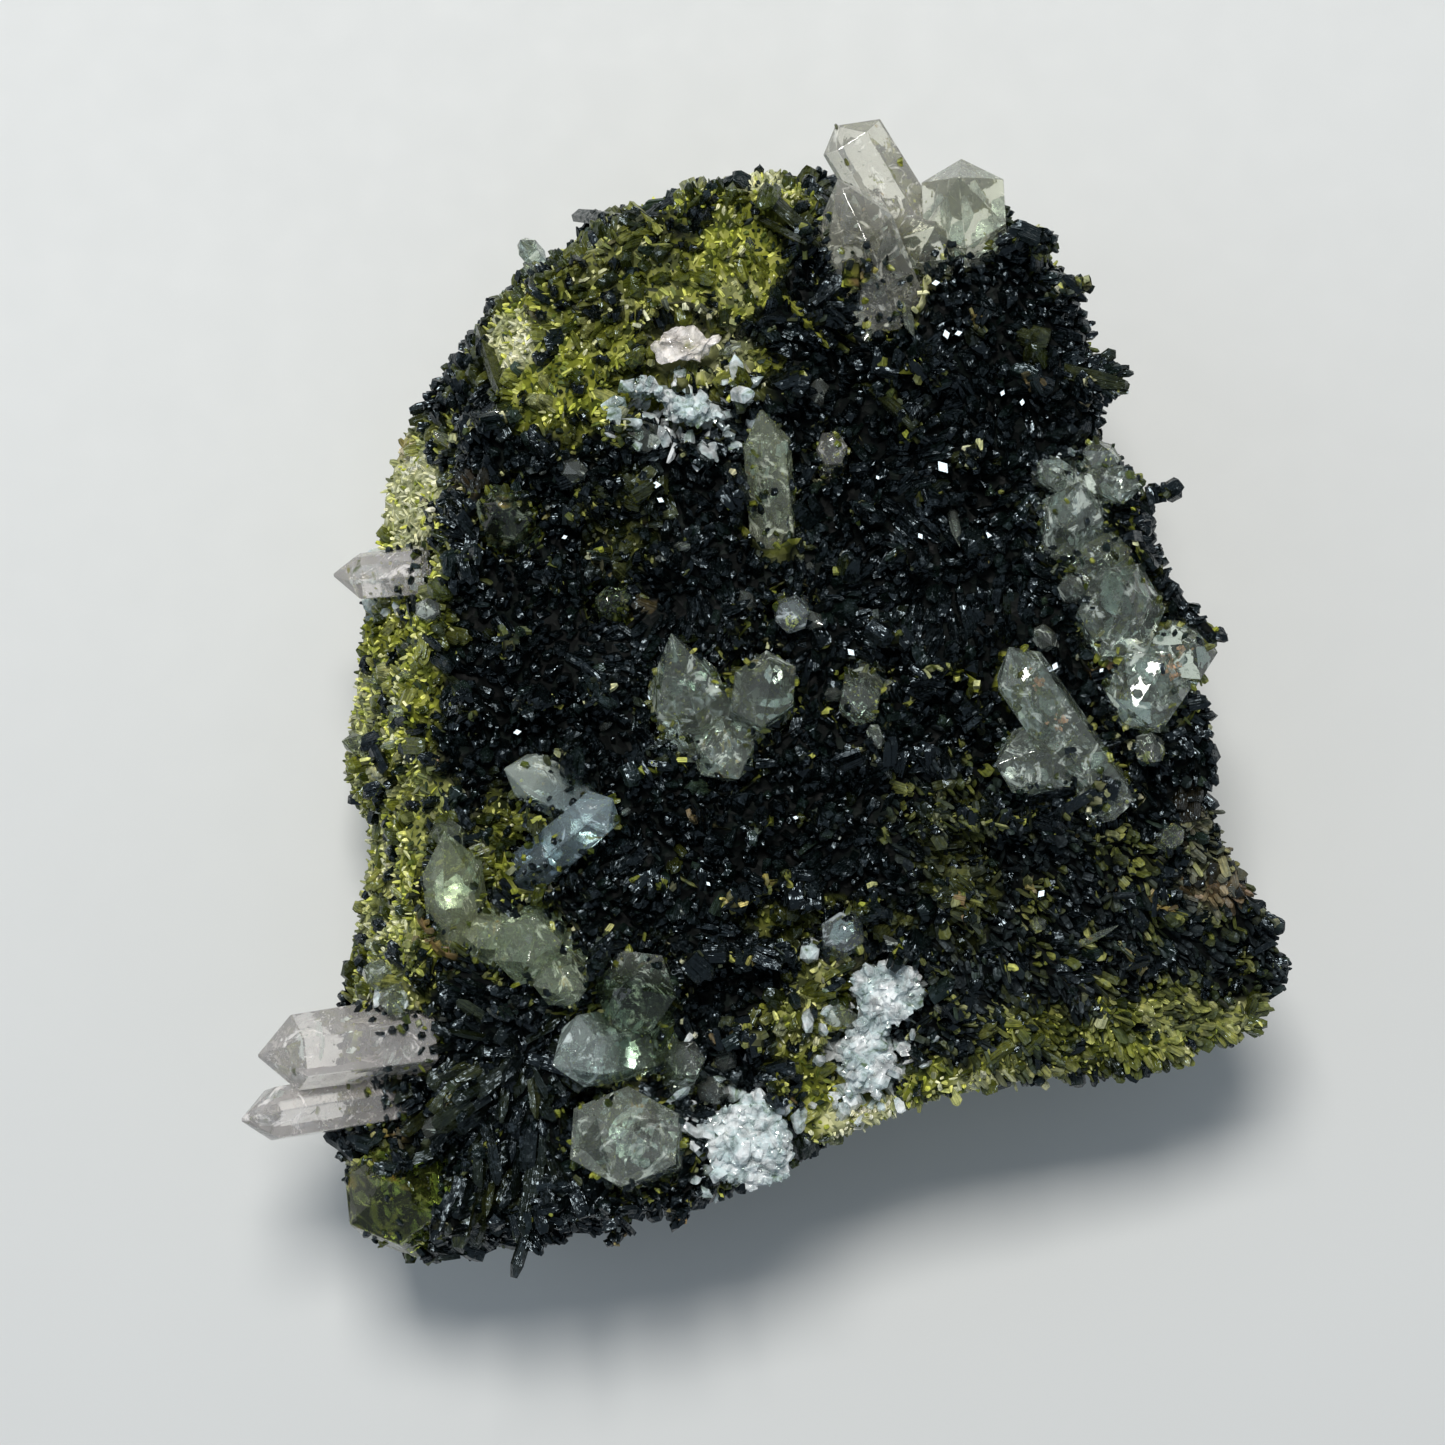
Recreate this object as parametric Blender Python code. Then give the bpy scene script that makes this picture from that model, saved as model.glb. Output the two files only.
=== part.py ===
"""Epidote crystal cluster: a loose piece of rock whose upper face is grown over with dark epidote prisms,
with points and lumps of clear and milky quartz rooted among them. It lies on its broken flat underside.

Run with: blender --background --python part.py
Lengths below are in millimetres, and MM makes them metres. +X is right, +Y is away and +Z is up.
"""

import math
import random

import bmesh
import bpy
from mathutils import Matrix, Vector, noise

MM = 0.001

# The middle of the whole cluster's box in the plan that the lists below are drawn in
PLAN_CENTRE = (0.45, -0.4)

# The rock: its outline seen from above, counter-clockwise from the right side, and how much of that it has
OUTLINE_SCALE = 1.035
OUTLINE = [
    (29.6, 0.7), (29.0, 4.7), (26.4, 9.3), (25.8, 13.6), (22.8, 16.6), (23.0, 21.0), (21.4, 24.6),
    (20.2, 29.6), (17.8, 31.4), (12.5, 33.0), (5.0, 34.4), (-1.5, 35.4), (-5.4, 34.9), (-8.8, 33.6),
    (-12.0, 31.4), (-16.2, 29.8), (-19.0, 26.6), (-21.0, 24.6), (-23.7, 21.0), (-26.4, 17.2),
    (-26.2, 13.6), (-28.0, 9.9), (-28.8, 4.3), (-29.9, -2.8), (-29.3, -7.0), (-28.0, -11.9),
    (-28.4, -17.6), (-29.6, -21.9), (-30.6, -26.5), (-30.4, -30.5), (-28.2, -33.6), (-25.4, -37.0),
    (-22.0, -38.6), (-18.6, -38.2), (-15.0, -36.6), (-10.5, -35.6), (-5.2, -34.6), (0.2, -33.2),
    (4.2, -31.0), (10.2, -28.6), (15.5, -26.8), (20.8, -25.4), (27.0, -25.2), (32.0, -23.4),
    (34.6, -21.0), (34.8, -16.7), (33.2, -12.7), (30.0, -8.7), (30.2, -3.3),
]
CREST = 24.0
SKIN_LUMPS = 1.5
LUMP_REACH = 5.0
TOP_SWELL = 0.9
TOP_ROUGH = 0.7
LEDGE_RISE = 6.5
LEDGE_DEPTH = 1.3
# By bearing in degrees: how far the flank slopes out, how far the foot is tucked in, where it is widest
FLANK = [
    (0, 0.8), (60, 0.9), (110, 1.4), (140, 2.8), (165, 6.0), (205, 6.2), (228, 3.0), (262, 1.4), (315, 1.0),
]
TUCK = [(0, 5.0), (50, 4.0), (100, 4.5), (150, 3.0), (190, 2.2), (230, 4.0), (280, 5.5), (330, 5.0)]
WIDEST = [(0, 19.0), (90, 18.5), (140, 13.0), (180, 9.0), (215, 10.5), (250, 15.0), (300, 17.5)]
# Swells and hollows of the upper face: centre x and y, reach, height
SWELLS = [
    (-9.0, 25.0, 11.0, 2.6), (13.0, 27.0, 9.0, 2.4), (26.0, 5.0, 8.0, 1.6), (-4.0, -1.0, 8.0, 1.0),
    (30.0, -19.0, 11.0, -4.2), (-26.0, -31.0, 11.0, -5.0), (-16.0, -24.0, 7.0, 1.6),
    (2.0, 12.0, 6.0, -0.8), (6.0, -26.0, 10.0, -1.6), (9.0, -9.0, 6.0, 0.8),
]
# Flat breaks that trim the flank: bearing, slope of the face, bite into the rock's furthest reach that way
BREAKS = [
    (4, -14, 1.2), (38, -24, -0.6), (70, -16, 0.6), (98, -22, -0.2), (124, -12, 0.2), (152, -30, -0.4),
    (178, -20, 0.7), (204, -12, 0.9), (226, -14, -0.8), (250, -20, -0.6), (284, -26, -0.4), (306, -14, 1.6),
    (326, -20, 2.0), (348, -28, -1.0), (60, -44, -4.0), (195, -46, -2.4), (238, -40, -4.0), (270, -44, -4.6),
    (130, -42, -4.0), (320, -42, -3.0), (12, -48, -5.0), (165, 32, 1.0),
]
ROCK_DETAIL = 4
SLIVER = 0.002
# The skin runs from the top's middle at 0 to the underside's middle at 1, and turns at these shares
BROW_SHARE = 0.52
WIDEST_SHARE = 0.66
FOOT_SHARE = 0.82
BELOW_CUT = 0.7

# Epidote prisms stand on a staggered net: its spacing and width, how far a prism is nudged off it, and how
# near to the outline they go
GROWTH_SPACING = 4.9
GROWTH_WIDTH = 80.0
GROWTH_NUDGE = 0.9
GROWTH_RIM = 0.955
# Prisms keep off the middle of each quartz point, and past this share of the way out they lean outward
QUARTZ_SHARE = 0.6
QUARTZ_GAP = 1.0
OUTWARD_FROM = 0.75
OUTWARD_REACH = 12.0
# Half-width, height and root depth of a prism, how its width and ends differ, and how far neighbours lean
PRISM_HALF = (1.6, 2.5)
PRISM_RISE = (1.8, 3.8)
PRISM_SINK = 1.8
PRISM_FLAT = (0.55, 0.8)
PRISM_TAPER = (0.8, 0.95)
PRISM_SIDES = (4, 4, 4, 6)
PRISM_POINT = (0.0, 0.0, 0.16, 0.22)
PRISM_LEAN = 0.6
LEAN_SHARE = 0.9
LEAN_REACH = 5.0
# The places where they grow another way: granular and low, fibrous and lying, or spread from a heart.
# Each is centre x and y, half-size along x and y
GRANULAR_BARE = 0.35
GRANULAR_RISE = 0.35
GRANULAR_HALF = 0.85
FIBROUS_RISE = 1.1
FIBROUS_HALF = 0.62
GRANULAR = [
    (-11.2, 24.7, 8.5, 7.0), (-1.8, 33.6, 6.0, 3.0), (-1.6, 28.0, 2.6, 4.0), (-25.5, 0.0, 5.4, 24.0),
    (4.2, -23.0, 3.4, 6.0), (13.0, -26.4, 11.0, 2.8), (26.0, -22.8, 9.0, 2.4), (19.6, 30.2, 2.2, 3.2),
]
FIBROUS = (24.6, -16.4, 12.0, 8.6)
SPRAY = (-18.0, -28.6, 8.5, 8.5)
SPRAY_HEART = (-16.0, -24.0)
LATHS_LIE = (0.72, -0.62, 0.30)
# Single laths that stand out: root x, y, tip x, y, height of the tip over the face, half-width
LATH_SINK = 0.6
LATHS = [
    (0.6, 33.6, 4.2, 29.6, 1.8, 0.75), (3.2, 26.2, 7.4, 28.8, 3.6, 0.95),
    (1.4, 26.8, 4.4, 22.8, 1.8, 0.8), (7.0, 20.8, 10.4, 17.6, 2.0, 1.0),
    (-12.2, 33.2, -7.8, 31.8, 1.4, 0.9), (20.4, 21.6, 24.3, 20.4, 1.4, 1.1),
    (16.2, -7.0, 20.9, -6.2, 1.6, 0.75), (19.4, -7.8, 22.9, -5.7, 2.0, 0.7),
    (24.6, 13.2, 27.5, 13.8, 1.0, 0.9), (-19.6, 25.2, -17.4, 19.6, 1.2, 1.1),
    (27.4, 6.0, 30.3, 3.2, 0.8, 0.9),
]

# Quartz points: the gap that each keeps to the rock, the most of its length that a pyramid takes, and each
# crystal of each node as root x, y, tip x, y, height of the tip over the face, depth of the root,
# half-width, and how tall its pyramid is for its half-width
CLEARANCE = 0.3
MOST_PYRAMID = 0.55
# From one point to the next, how flat it is, how its apex leans and how it is turned on its axis
POINT_FLAT = (0.82, 0.90, 0.98)
POINT_LEAN = (0.25, 0.05, -0.15)
POINT_TURN = (0.4, 0.7)
POINTS = {
    "quartz_top_group": [
        (11.4, 28.6, 5.2, 38.2, 0.8, 4.0, 2.5, 0.5),
        (8.2, 26.0, 4.8, 33.8, 4.4, 3.0, 3.2, 1.1),
        (13.7, 31.0, 12.9, 33.4, 4.0, 6.0, 3.4, 1.0),
        (11.0, 29.4, 10.6, 31.0, 2.2, 4.0, 2.4, 1.0),
    ],
    "quartz_centre_group": [
        (-4.2, -2.6, -6.2, 4.2, 3.2, 3.2, 3.0, 1.9),
        (-3.4, -1.4, -1.8, -5.6, 1.8, 3.0, 2.3, 1.0),
        (-0.4, -0.4, 0.2, 1.0, 3.4, 4.0, 2.9, 0.7),
    ],
    "quartz_small_point": [(6.9, 1.6, 6.2, -0.9, 2.6, 3.0, 1.7, 0.6)],
    "quartz_slanting_pair": [
        (23.4, -7.2, 15.8, 3.2, 2.6, 0.8, 2.1, 0.9),
        (21.8, -4.8, 15.2, -3.8, 2.4, 2.2, 2.5, 0.8),
    ],
    "quartz_right_edge_group": [
        (22.6, 13.0, 18.0, 15.6, 1.8, 2.0, 1.3, 1.0),
        (20.2, 14.8, 24.9, 13.9, 1.6, 2.4, 1.4, 1.0),
        (22.4, 14.6, 22.6, 16.6, 1.0, 3.4, 1.5, 0.8),
        (20.4, 9.4, 20.6, 14.2, 3.0, 3.0, 2.4, 1.1),
        (22.4, 8.8, 22.4, 9.6, 1.4, 4.0, 2.4, 0.8),
        (23.8, 5.0, 23.6, 6.4, 3.6, 4.6, 3.8, 0.9),
        (27.0, 2.6, 24.2, -0.8, 2.8, 3.8, 3.2, 0.7),
        (27.4, 2.0, 28.0, 3.8, 2.0, 3.8, 2.5, 0.8),
    ],
    "quartz_left_pair": [
        (-11.4, -7.6, -17.0, -4.2, 2.8, 3.0, 1.9, 1.1),
        (-16.0, -11.8, -9.8, -6.6, 2.2, 2.6, 2.0, 0.9),
    ],
    "quartz_low_left_group": [
        (-15.6, -16.0, -15.6, -17.0, 2.6, 4.0, 2.6, 0.7),
        (-13.6, -17.0, -13.4, -19.6, 2.0, 3.6, 2.0, 0.6),
        (-17.2, -15.2, -18.8, -16.6, 1.8, 3.6, 2.0, 0.8),
        (-20.4, -16.0, -20.8, -8.6, 2.6, 3.0, 2.2, 1.5),
    ],
    "quartz_corner_pair": [
        (-23.0, -22.8, -33.6, -24.0, 1.4, 3.4, 3.4, 0.7),
        (-23.6, -26.8, -35.0, -28.2, 0.6, 3.4, 2.3, 1.0),
    ],
    "quartz_green_corner": [(-24.4, -35.0, -25.4, -32.6, 3.4, 6.0, 4.0, 0.8)],
    "quartz_bottom_group": [
        (-6.2, -22.8, -14.1, -23.5, 2.8, 2.6, 2.7, 1.0),
        (-8.0, -21.0, -8.6, -19.0, 2.6, 4.0, 3.3, 0.5),
        (-6.0, -27.4, -5.0, -23.2, 3.2, 4.6, 1.5, 0.9),
        (-8.4, -30.4, -9.6, -28.4, 4.0, 5.0, 4.4, 0.7),
    ],
    "quartz_bright_point": [(5.3, -16.6, 5.3, -15.2, 2.0, 3.4, 1.7, 0.9)],
    "quartz_upper_blade": [(0.9, 9.6, 0.0, 19.2, 1.5, 2.8, 1.8, 1.5)],
    "quartz_upper_stub": [(4.7, 15.6, 4.5, 16.8, 1.6, 3.4, 1.4, 0.8)],
    "quartz_smoky_point": [(-17.0, 11.4, -17.3, 12.8, 2.0, 4.0, 2.3, 0.8)],
    "quartz_left_edge": [(-22.8, 8.8, -29.4, 8.2, -6.4, 5.4, 1.8, 1.1)],
    "quartz_dark_stub": [(-10.1, 5.9, -10.0, 6.6, 1.9, 3.2, 1.3, 0.6)],
    "quartz_low_right_point": [(27.2, -9.9, 27.4, -9.0, 1.9, 2.6, 1.0, 1.0)],
    "quartz_fan_point": [(1.9, 6.4, 1.9, 5.2, 2.0, 3.2, 1.3, 0.6)],
}
# Crusts of grown-together quartz grains: each lump as x, y, half-size along x and y, height over the face
CRUSTS = {
    "quartz_bottom_crust": [(-0.8, -29.6, 3.6, 3.4, 1.5)],
    "quartz_white_patch": [(8.0, -19.6, 3.0, 2.6, 1.2), (7.0, -24.0, 2.4, 3.6, 1.2)],
    "quartz_white_knob": [(-5.2, 23.3, 2.8, 1.9, 1.2)],
    "quartz_glassy_patch": [(-7.9, 20.5, 2.1, 1.2, 0.9), (-4.8, 19.0, 2.6, 1.6, 1.0)],
}
CRUST_DEPTH = 2.6
CRUST_ROUGH = 0.35
# Loose chips that a cut may leave beside the rock, more than which means that a form doesn't meet it
MOST_CHIPS = 60


def wander(spot):
    """A smooth field of vectors that has no likely direction."""
    return Vector([noise.noise(spot + Vector((0.0, 0.0, apart))) for apart in (0.0, 31.7, 67.3)])


def read_round(table, bearing):
    """The value at a bearing in degrees, straight between the table's entries and round past the last."""
    first = table[0]
    rows = table + [(first[0] + 360, first[1])]
    for (a, low), (b, high) in zip(rows, rows[1:]):
        if a <= bearing <= b:
            return low + (high - low) * (bearing - a) / (b - a)
    return first[1]


def outline_reach(bearing):
    """How far the rock's outline is from the plan's middle at a bearing."""
    ray = Vector((math.cos(math.radians(bearing)), math.sin(math.radians(bearing))))
    for (ax, ay), (bx, by) in zip(OUTLINE, OUTLINE[1:] + OUTLINE[:1]):
        edge = Vector((bx - ax, by - ay))
        turn = ray.cross(edge)
        if abs(turn) < 1e-9:
            continue
        along = Vector((ax, ay)).cross(edge) / turn
        share = Vector((ax, ay)).cross(ray) / turn
        if along > 0 and -1e-6 <= share <= 1 + 1e-6:
            return along * OUTLINE_SCALE
    raise ValueError("the outline doesn't go right round the plan's middle")


def furthest_reach(bearing):
    """How far out the outline gets along a bearing, at whichever of its corners is furthest that way."""
    ray = Vector((math.cos(math.radians(bearing)), math.sin(math.radians(bearing))))
    return max(Vector(corner).dot(ray) for corner in OUTLINE) * OUTLINE_SCALE


def face_height(x, y):
    """The height of the rock's upper face at a place in the plan."""
    z = CREST + TOP_SWELL * noise.noise(Vector((x, y, 3.0)) / 7.0)
    for cx, cy, reach, rise in SWELLS:
        z += rise * math.exp(-((x - cx) ** 2 + (y - cy) ** 2) / reach**2)
    return z


def inside_share(x, y):
    """0 at the plan's middle and 1 on the rock's outline."""
    bearing = math.degrees(math.atan2(y, x)) % 360
    return math.hypot(x, y) / outline_reach(bearing)


def flank_drop(x, y):
    """How far the skin has come down from the upper face, where the place is out on the flank."""
    bearing = math.degrees(math.atan2(y, x)) % 360
    rim = outline_reach(bearing)
    flank = read_round(FLANK, bearing)
    out = (math.hypot(x, y) - (rim - flank)) / flank
    if out <= 0:
        return 0.0
    return min(out, 1.0) * (face_height(x, y) - read_round(WIDEST, bearing))


def rock_point(bearing, share):
    """A point of the rock's skin. Share is 0 at the top's middle, and 1 at the middle of the underside."""
    rim = outline_reach(bearing)
    brow = rim - read_round(FLANK, bearing)
    foot = rim - read_round(TUCK, bearing)
    widest = read_round(WIDEST, bearing)
    ray = Vector((math.cos(math.radians(bearing)), math.sin(math.radians(bearing)), 0))
    if share <= BROW_SHARE:
        spot = ray * brow * share / BROW_SHARE
        rough = TOP_ROUGH * noise.noise(spot * 0.7)
        return Vector((spot.x, spot.y, face_height(spot.x, spot.y) + rough))
    edge = ray * brow
    if share <= WIDEST_SHARE:
        t = (share - BROW_SHARE) / (WIDEST_SHARE - BROW_SHARE)
        spot = ray * (brow + (rim - brow) * t)
        spot.z = face_height(edge.x, edge.y) * (1 - t) + widest * t
    elif share <= FOOT_SHARE:
        t = (share - WIDEST_SHARE) / (FOOT_SHARE - WIDEST_SHARE)
        spot = ray * (rim + (foot - rim) * t)
        spot.z = widest * (1 - t) - BELOW_CUT * t
    else:
        spot = ray * foot * (1 - share) / (1 - FOOT_SHARE)
        spot.z = -BELOW_CUT
        return spot
    ledge = ((spot.z + 5 * noise.noise(spot / 14.0)) / LEDGE_RISE) % 1.0
    return spot - ray * LEDGE_DEPTH * ledge + wander(spot / LUMP_REACH) * SKIN_LUMPS


def trim(bm, spot, facing):
    """Takes off what lies beyond a plane and closes the cut with one flat face."""
    cut = bmesh.ops.bisect_plane(
        bm, geom=bm.verts[:] + bm.edges[:] + bm.faces[:], dist=1e-3,
        plane_co=spot, plane_no=facing, clear_outer=True,
    )
    edges = [e for e in cut["geom_cut"] if isinstance(e, bmesh.types.BMEdge)]
    if edges:
        bmesh.ops.holes_fill(bm, edges=edges)


def rock_mesh():
    """The bare rock: a ball drawn out to the outline, then trimmed by the flat breaks and its underside."""
    bm = bmesh.new()
    bmesh.ops.create_icosphere(bm, subdivisions=ROCK_DETAIL, radius=1.0)
    for v in bm.verts:
        bearing = math.degrees(math.atan2(v.co.y, v.co.x)) % 360
        share = math.acos(max(-1.0, min(1.0, v.co.z))) / math.pi
        v.co = rock_point(bearing, share)
    middle = Vector((0, 0, CREST / 2))
    for bearing, slope, bite in BREAKS:
        turn, tip = math.radians(bearing), math.radians(slope)
        facing = Vector((math.cos(turn) * math.cos(tip), math.sin(turn) * math.cos(tip), math.sin(tip)))
        reach = furthest_reach(bearing) * math.cos(tip) - bite
        trim(bm, middle + facing * reach, facing)
    trim(bm, Vector((0, 0, 0)), Vector((0, 0, -1)))
    return bm


def add_crystal(
    bm, root, tip, half, sides=6, flat=1.0, point=0.3, lean=0.0, turn=0.0, taper=0.92, grow=0.0
):
    """One crystal from root to tip: a prism with a leaning point, or with no point and a slanted end."""
    axis = tip - root
    cap = point * axis.length
    shaft = axis.length - cap + grow
    made = bmesh.ops.create_cone(
        bm, cap_ends=True, segments=sides, depth=shaft,
        radius1=half + grow, radius2=half * taper + grow,
    )
    verts = made["verts"]
    top = max({f for v in verts for f in v.link_faces}, key=lambda f: f.calc_center_median().z)
    if point > 0:
        apex = bmesh.ops.poke(bm, faces=[top])["verts"][0]
        apex.co += Vector((lean * half, 0, cap + grow))
        verts.append(apex)
    else:
        for v in top.verts:
            v.co.z += lean * v.co.x
    place = (
        Matrix.Translation(root)
        @ axis.to_track_quat("Z", "Y").to_matrix().to_4x4()
        @ Matrix.Rotation(turn, 4, "Z")
        @ Matrix.Diagonal((1, flat, 1, 1))
        @ Matrix.Translation((0, 0, shaft / 2 - grow))
    )
    bmesh.ops.transform(bm, matrix=place, verts=verts)


def in_zone(zone, x, y):
    cx, cy, rx, ry = zone
    return ((x - cx) / rx) ** 2 + ((y - cy) / ry) ** 2 < 1


def skin_tilt(x, y):
    """The way that the rock's upper skin faces at a place, flank included."""
    step = 1.0
    here = face_height(x, y) - flank_drop(x, y)
    right = face_height(x + step, y) - flank_drop(x + step, y)
    away = face_height(x, y + step) - flank_drop(x, y + step)
    return Vector((here - right, here - away, step)).normalized()


def growth_spots():
    """Where the epidote prisms stand: a staggered net over the face, each place nudged off it."""
    dice = random.Random(11)
    row_step = GROWTH_SPACING * math.sin(math.radians(60))
    rows = int(GROWTH_WIDTH / row_step)
    columns = math.ceil(GROWTH_WIDTH / 1.4 / GROWTH_SPACING)
    for row in range(-rows // 2, rows // 2 + 1):
        for column in range(-columns, columns + 1):
            x = (column + 0.5 * (row % 2)) * GROWTH_SPACING + dice.uniform(-GROWTH_NUDGE, GROWTH_NUDGE)
            y = row * row_step + dice.uniform(-GROWTH_NUDGE, GROWTH_NUDGE)
            if inside_share(x, y) < GROWTH_RIM and not near_quartz(x, y):
                yield x, y, dice


def epidote_mesh():
    """All the epidote prisms that are fused to the rock, as overlapping crystals in one mesh."""
    bm = bmesh.new()
    for x, y, dice in growth_spots():
        up = skin_tilt(x, y)
        ground = Vector((x, y, face_height(x, y) - flank_drop(x, y)))
        half = dice.uniform(*PRISM_HALF)
        rise = dice.uniform(*PRISM_RISE)
        drift = wander(Vector((x, y, 9.0)) / LEAN_REACH)
        outward = Vector((x, y, 0)) * max(0.0, inside_share(x, y) - OUTWARD_FROM) / OUTWARD_REACH
        way = (up + drift * LEAN_SHARE + outward).normalized()
        if any(in_zone(zone, x, y) for zone in GRANULAR):
            if dice.random() < GRANULAR_BARE:
                continue
            rise *= GRANULAR_RISE
            half *= GRANULAR_HALF
        elif in_zone(FIBROUS, x, y):
            way = (Vector(LATHS_LIE) + drift * 0.3).normalized()
            rise *= FIBROUS_RISE
            half *= FIBROUS_HALF
        elif in_zone(SPRAY, x, y):
            out = Vector((x - SPRAY_HEART[0], y - SPRAY_HEART[1], 0))
            way = (up * 0.75 + out.normalized() * 0.8).normalized()
            rise *= 1.2
        add_crystal(
            bm, ground - way * PRISM_SINK, ground + way * rise, half, sides=dice.choice(PRISM_SIDES),
            flat=dice.uniform(*PRISM_FLAT), point=dice.choice(PRISM_POINT),
            lean=dice.uniform(-PRISM_LEAN, PRISM_LEAN), turn=dice.uniform(0, math.pi),
            taper=dice.uniform(*PRISM_TAPER),
        )
    for rx, ry, tx, ty, over, half in LATHS:
        root = Vector((rx, ry, face_height(rx, ry) - flank_drop(rx, ry) - LATH_SINK))
        tip = Vector((tx, ty, face_height(tx, ty) + over))
        add_crystal(bm, root, tip, half, sides=6, flat=0.6, point=0.1, lean=0.4, turn=0.3)
    return bm


def point_mesh(number, row, grow=0.0):
    """One quartz point as a closed mesh. Number turns its faces, so that neighbours differ."""
    rx, ry, tx, ty, over, under, half, tall = row
    tip = Vector((tx, ty, face_height(tx, ty) + over))
    root = Vector((rx, ry, face_height(rx, ry) - under))
    bm = bmesh.new()
    add_crystal(
        bm, root, tip, half, sides=6, flat=POINT_FLAT[number % 3],
        point=min(MOST_PYRAMID, tall * half / (tip - root).length),
        lean=POINT_LEAN[number % 3], turn=POINT_TURN[0] + POINT_TURN[1] * number, taper=0.93, grow=grow,
    )
    return bm


def crust_mesh(number, row, grow=0.0):
    """One lump of a quartz crust: a low uneven ball that is sunk in the rock."""
    x, y, wide, deep, over = row
    bm = bmesh.new()
    bmesh.ops.create_icosphere(bm, subdivisions=2, radius=1.0)
    tall = (over + CRUST_DEPTH) / 2
    for v in bm.verts:
        rough = 1 + CRUST_ROUGH * noise.noise(v.co * 1.9 + Vector((number * 3.1, 0, 0)))
        v.co = Vector((v.co.x * wide, v.co.y * deep, v.co.z * tall)) * rough
    top = max(v.co.z for v in bm.verts)
    for v in bm.verts:
        v.co += v.co.normalized() * grow + Vector((x, y, face_height(x, y) + over - top))
    return bm


def near_quartz(x, y):
    """Whether a place lies in the middle of a quartz point or crust, where no epidote stands."""
    here = Vector((x, y))
    for rows in POINTS.values():
        for rx, ry, tx, ty, over, under, half, tall in rows:
            root, tip = Vector((rx, ry)), Vector((tx, ty))
            run = tip - root
            along = max(0.0, min(1.0, (here - root).dot(run) / run.length_squared))
            if (here - root - run * along).length < half * QUARTZ_SHARE + QUARTZ_GAP:
                return True
    for rows in CRUSTS.values():
        for cx, cy, wide, deep, over in rows:
            if ((x - cx) / wide) ** 2 + ((y - cy) / deep) ** 2 < 1.1:
                return True
    return False


def new_object(name, bm, collection):
    """An object from a bmesh in plan millimetres, moved so that the cluster's box is centred, in metres."""
    bmesh.ops.translate(bm, vec=(-PLAN_CENTRE[0], -PLAN_CENTRE[1], 0), verts=bm.verts[:])
    bmesh.ops.scale(bm, vec=(MM, MM, MM), verts=bm.verts[:])
    bmesh.ops.recalc_face_normals(bm, faces=bm.faces[:])
    mesh = bpy.data.meshes.new(name)
    bm.to_mesh(mesh)
    bm.free()
    obj = bpy.data.objects.new(name, mesh)
    collection.objects.link(obj)
    return obj


def boolean(obj, operation, other):
    modifier = obj.modifiers.new(other.name, "BOOLEAN")
    modifier.operation = operation
    modifier.solver = "EXACT"
    modifier.use_self = operation == "UNION"
    modifier.object = other


def bake(obj, most_bodies):
    """Makes what the modifiers show the object's own mesh, and keeps its largest body alone."""
    graph = bpy.context.evaluated_depsgraph_get()
    mesh = bpy.data.meshes.new_from_object(obj.evaluated_get(graph))
    obj.modifiers.clear()
    obj.data = mesh
    bm = bmesh.new()
    bm.from_mesh(mesh)
    bmesh.ops.remove_doubles(bm, verts=bm.verts[:], dist=SLIVER * MM)
    bmesh.ops.triangulate(bm, faces=bm.faces[:])
    bodies, seen = [], set()
    for start in bm.verts:
        if start in seen:
            continue
        body, reach = {start}, [start]
        while reach:
            for edge in reach.pop().link_edges:
                for v in edge.verts:
                    if v not in body:
                        body.add(v)
                        reach.append(v)
        seen |= body
        bodies.append(body)
    bodies.sort(key=len)
    if len(bodies) > most_bodies:
        raise ValueError(f"{obj.name} has {len(bodies)} bodies that don't meet")
    for body in bodies[:-1]:
        bmesh.ops.delete(bm, geom=list(body), context="VERTS")
    bm.to_mesh(mesh)
    bm.free()


def helper(obj):
    obj.hide_render = True
    obj.display_type = "WIRE"
    return obj


def material(name, colour, roughness, transmission=0.0):
    made = bpy.data.materials.new(name)
    made.use_nodes = True
    shader = made.node_tree.nodes["Principled BSDF"]
    shader.inputs["Base Color"].default_value = (*colour, 1)
    shader.inputs["Roughness"].default_value = roughness
    shader.inputs["Metallic"].default_value = 0.0
    shader.inputs["Transmission Weight"].default_value = transmission
    return made


def make_quartz(cluster, helpers, colour, groups, shape):
    """A node for each quartz group, and a cutter a little larger than each crystal. Returns the cutters."""
    cutters = []
    for name, rows in groups.items():
        node = None
        for row in rows:
            number = len(cutters)
            cutter = new_object(f"socket_{name}_{number}", shape(number, row, CLEARANCE), helpers)
            cutters.append(helper(cutter))
            crystal = new_object(name, shape(number, row), cluster)
            if node is None:
                node = crystal
                continue
            boolean(node, "UNION", crystal)
            bake(node, 1)
            bpy.data.objects.remove(crystal)
        node.data.materials.clear()
        node.data.materials.append(colour)
    return cutters


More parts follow.
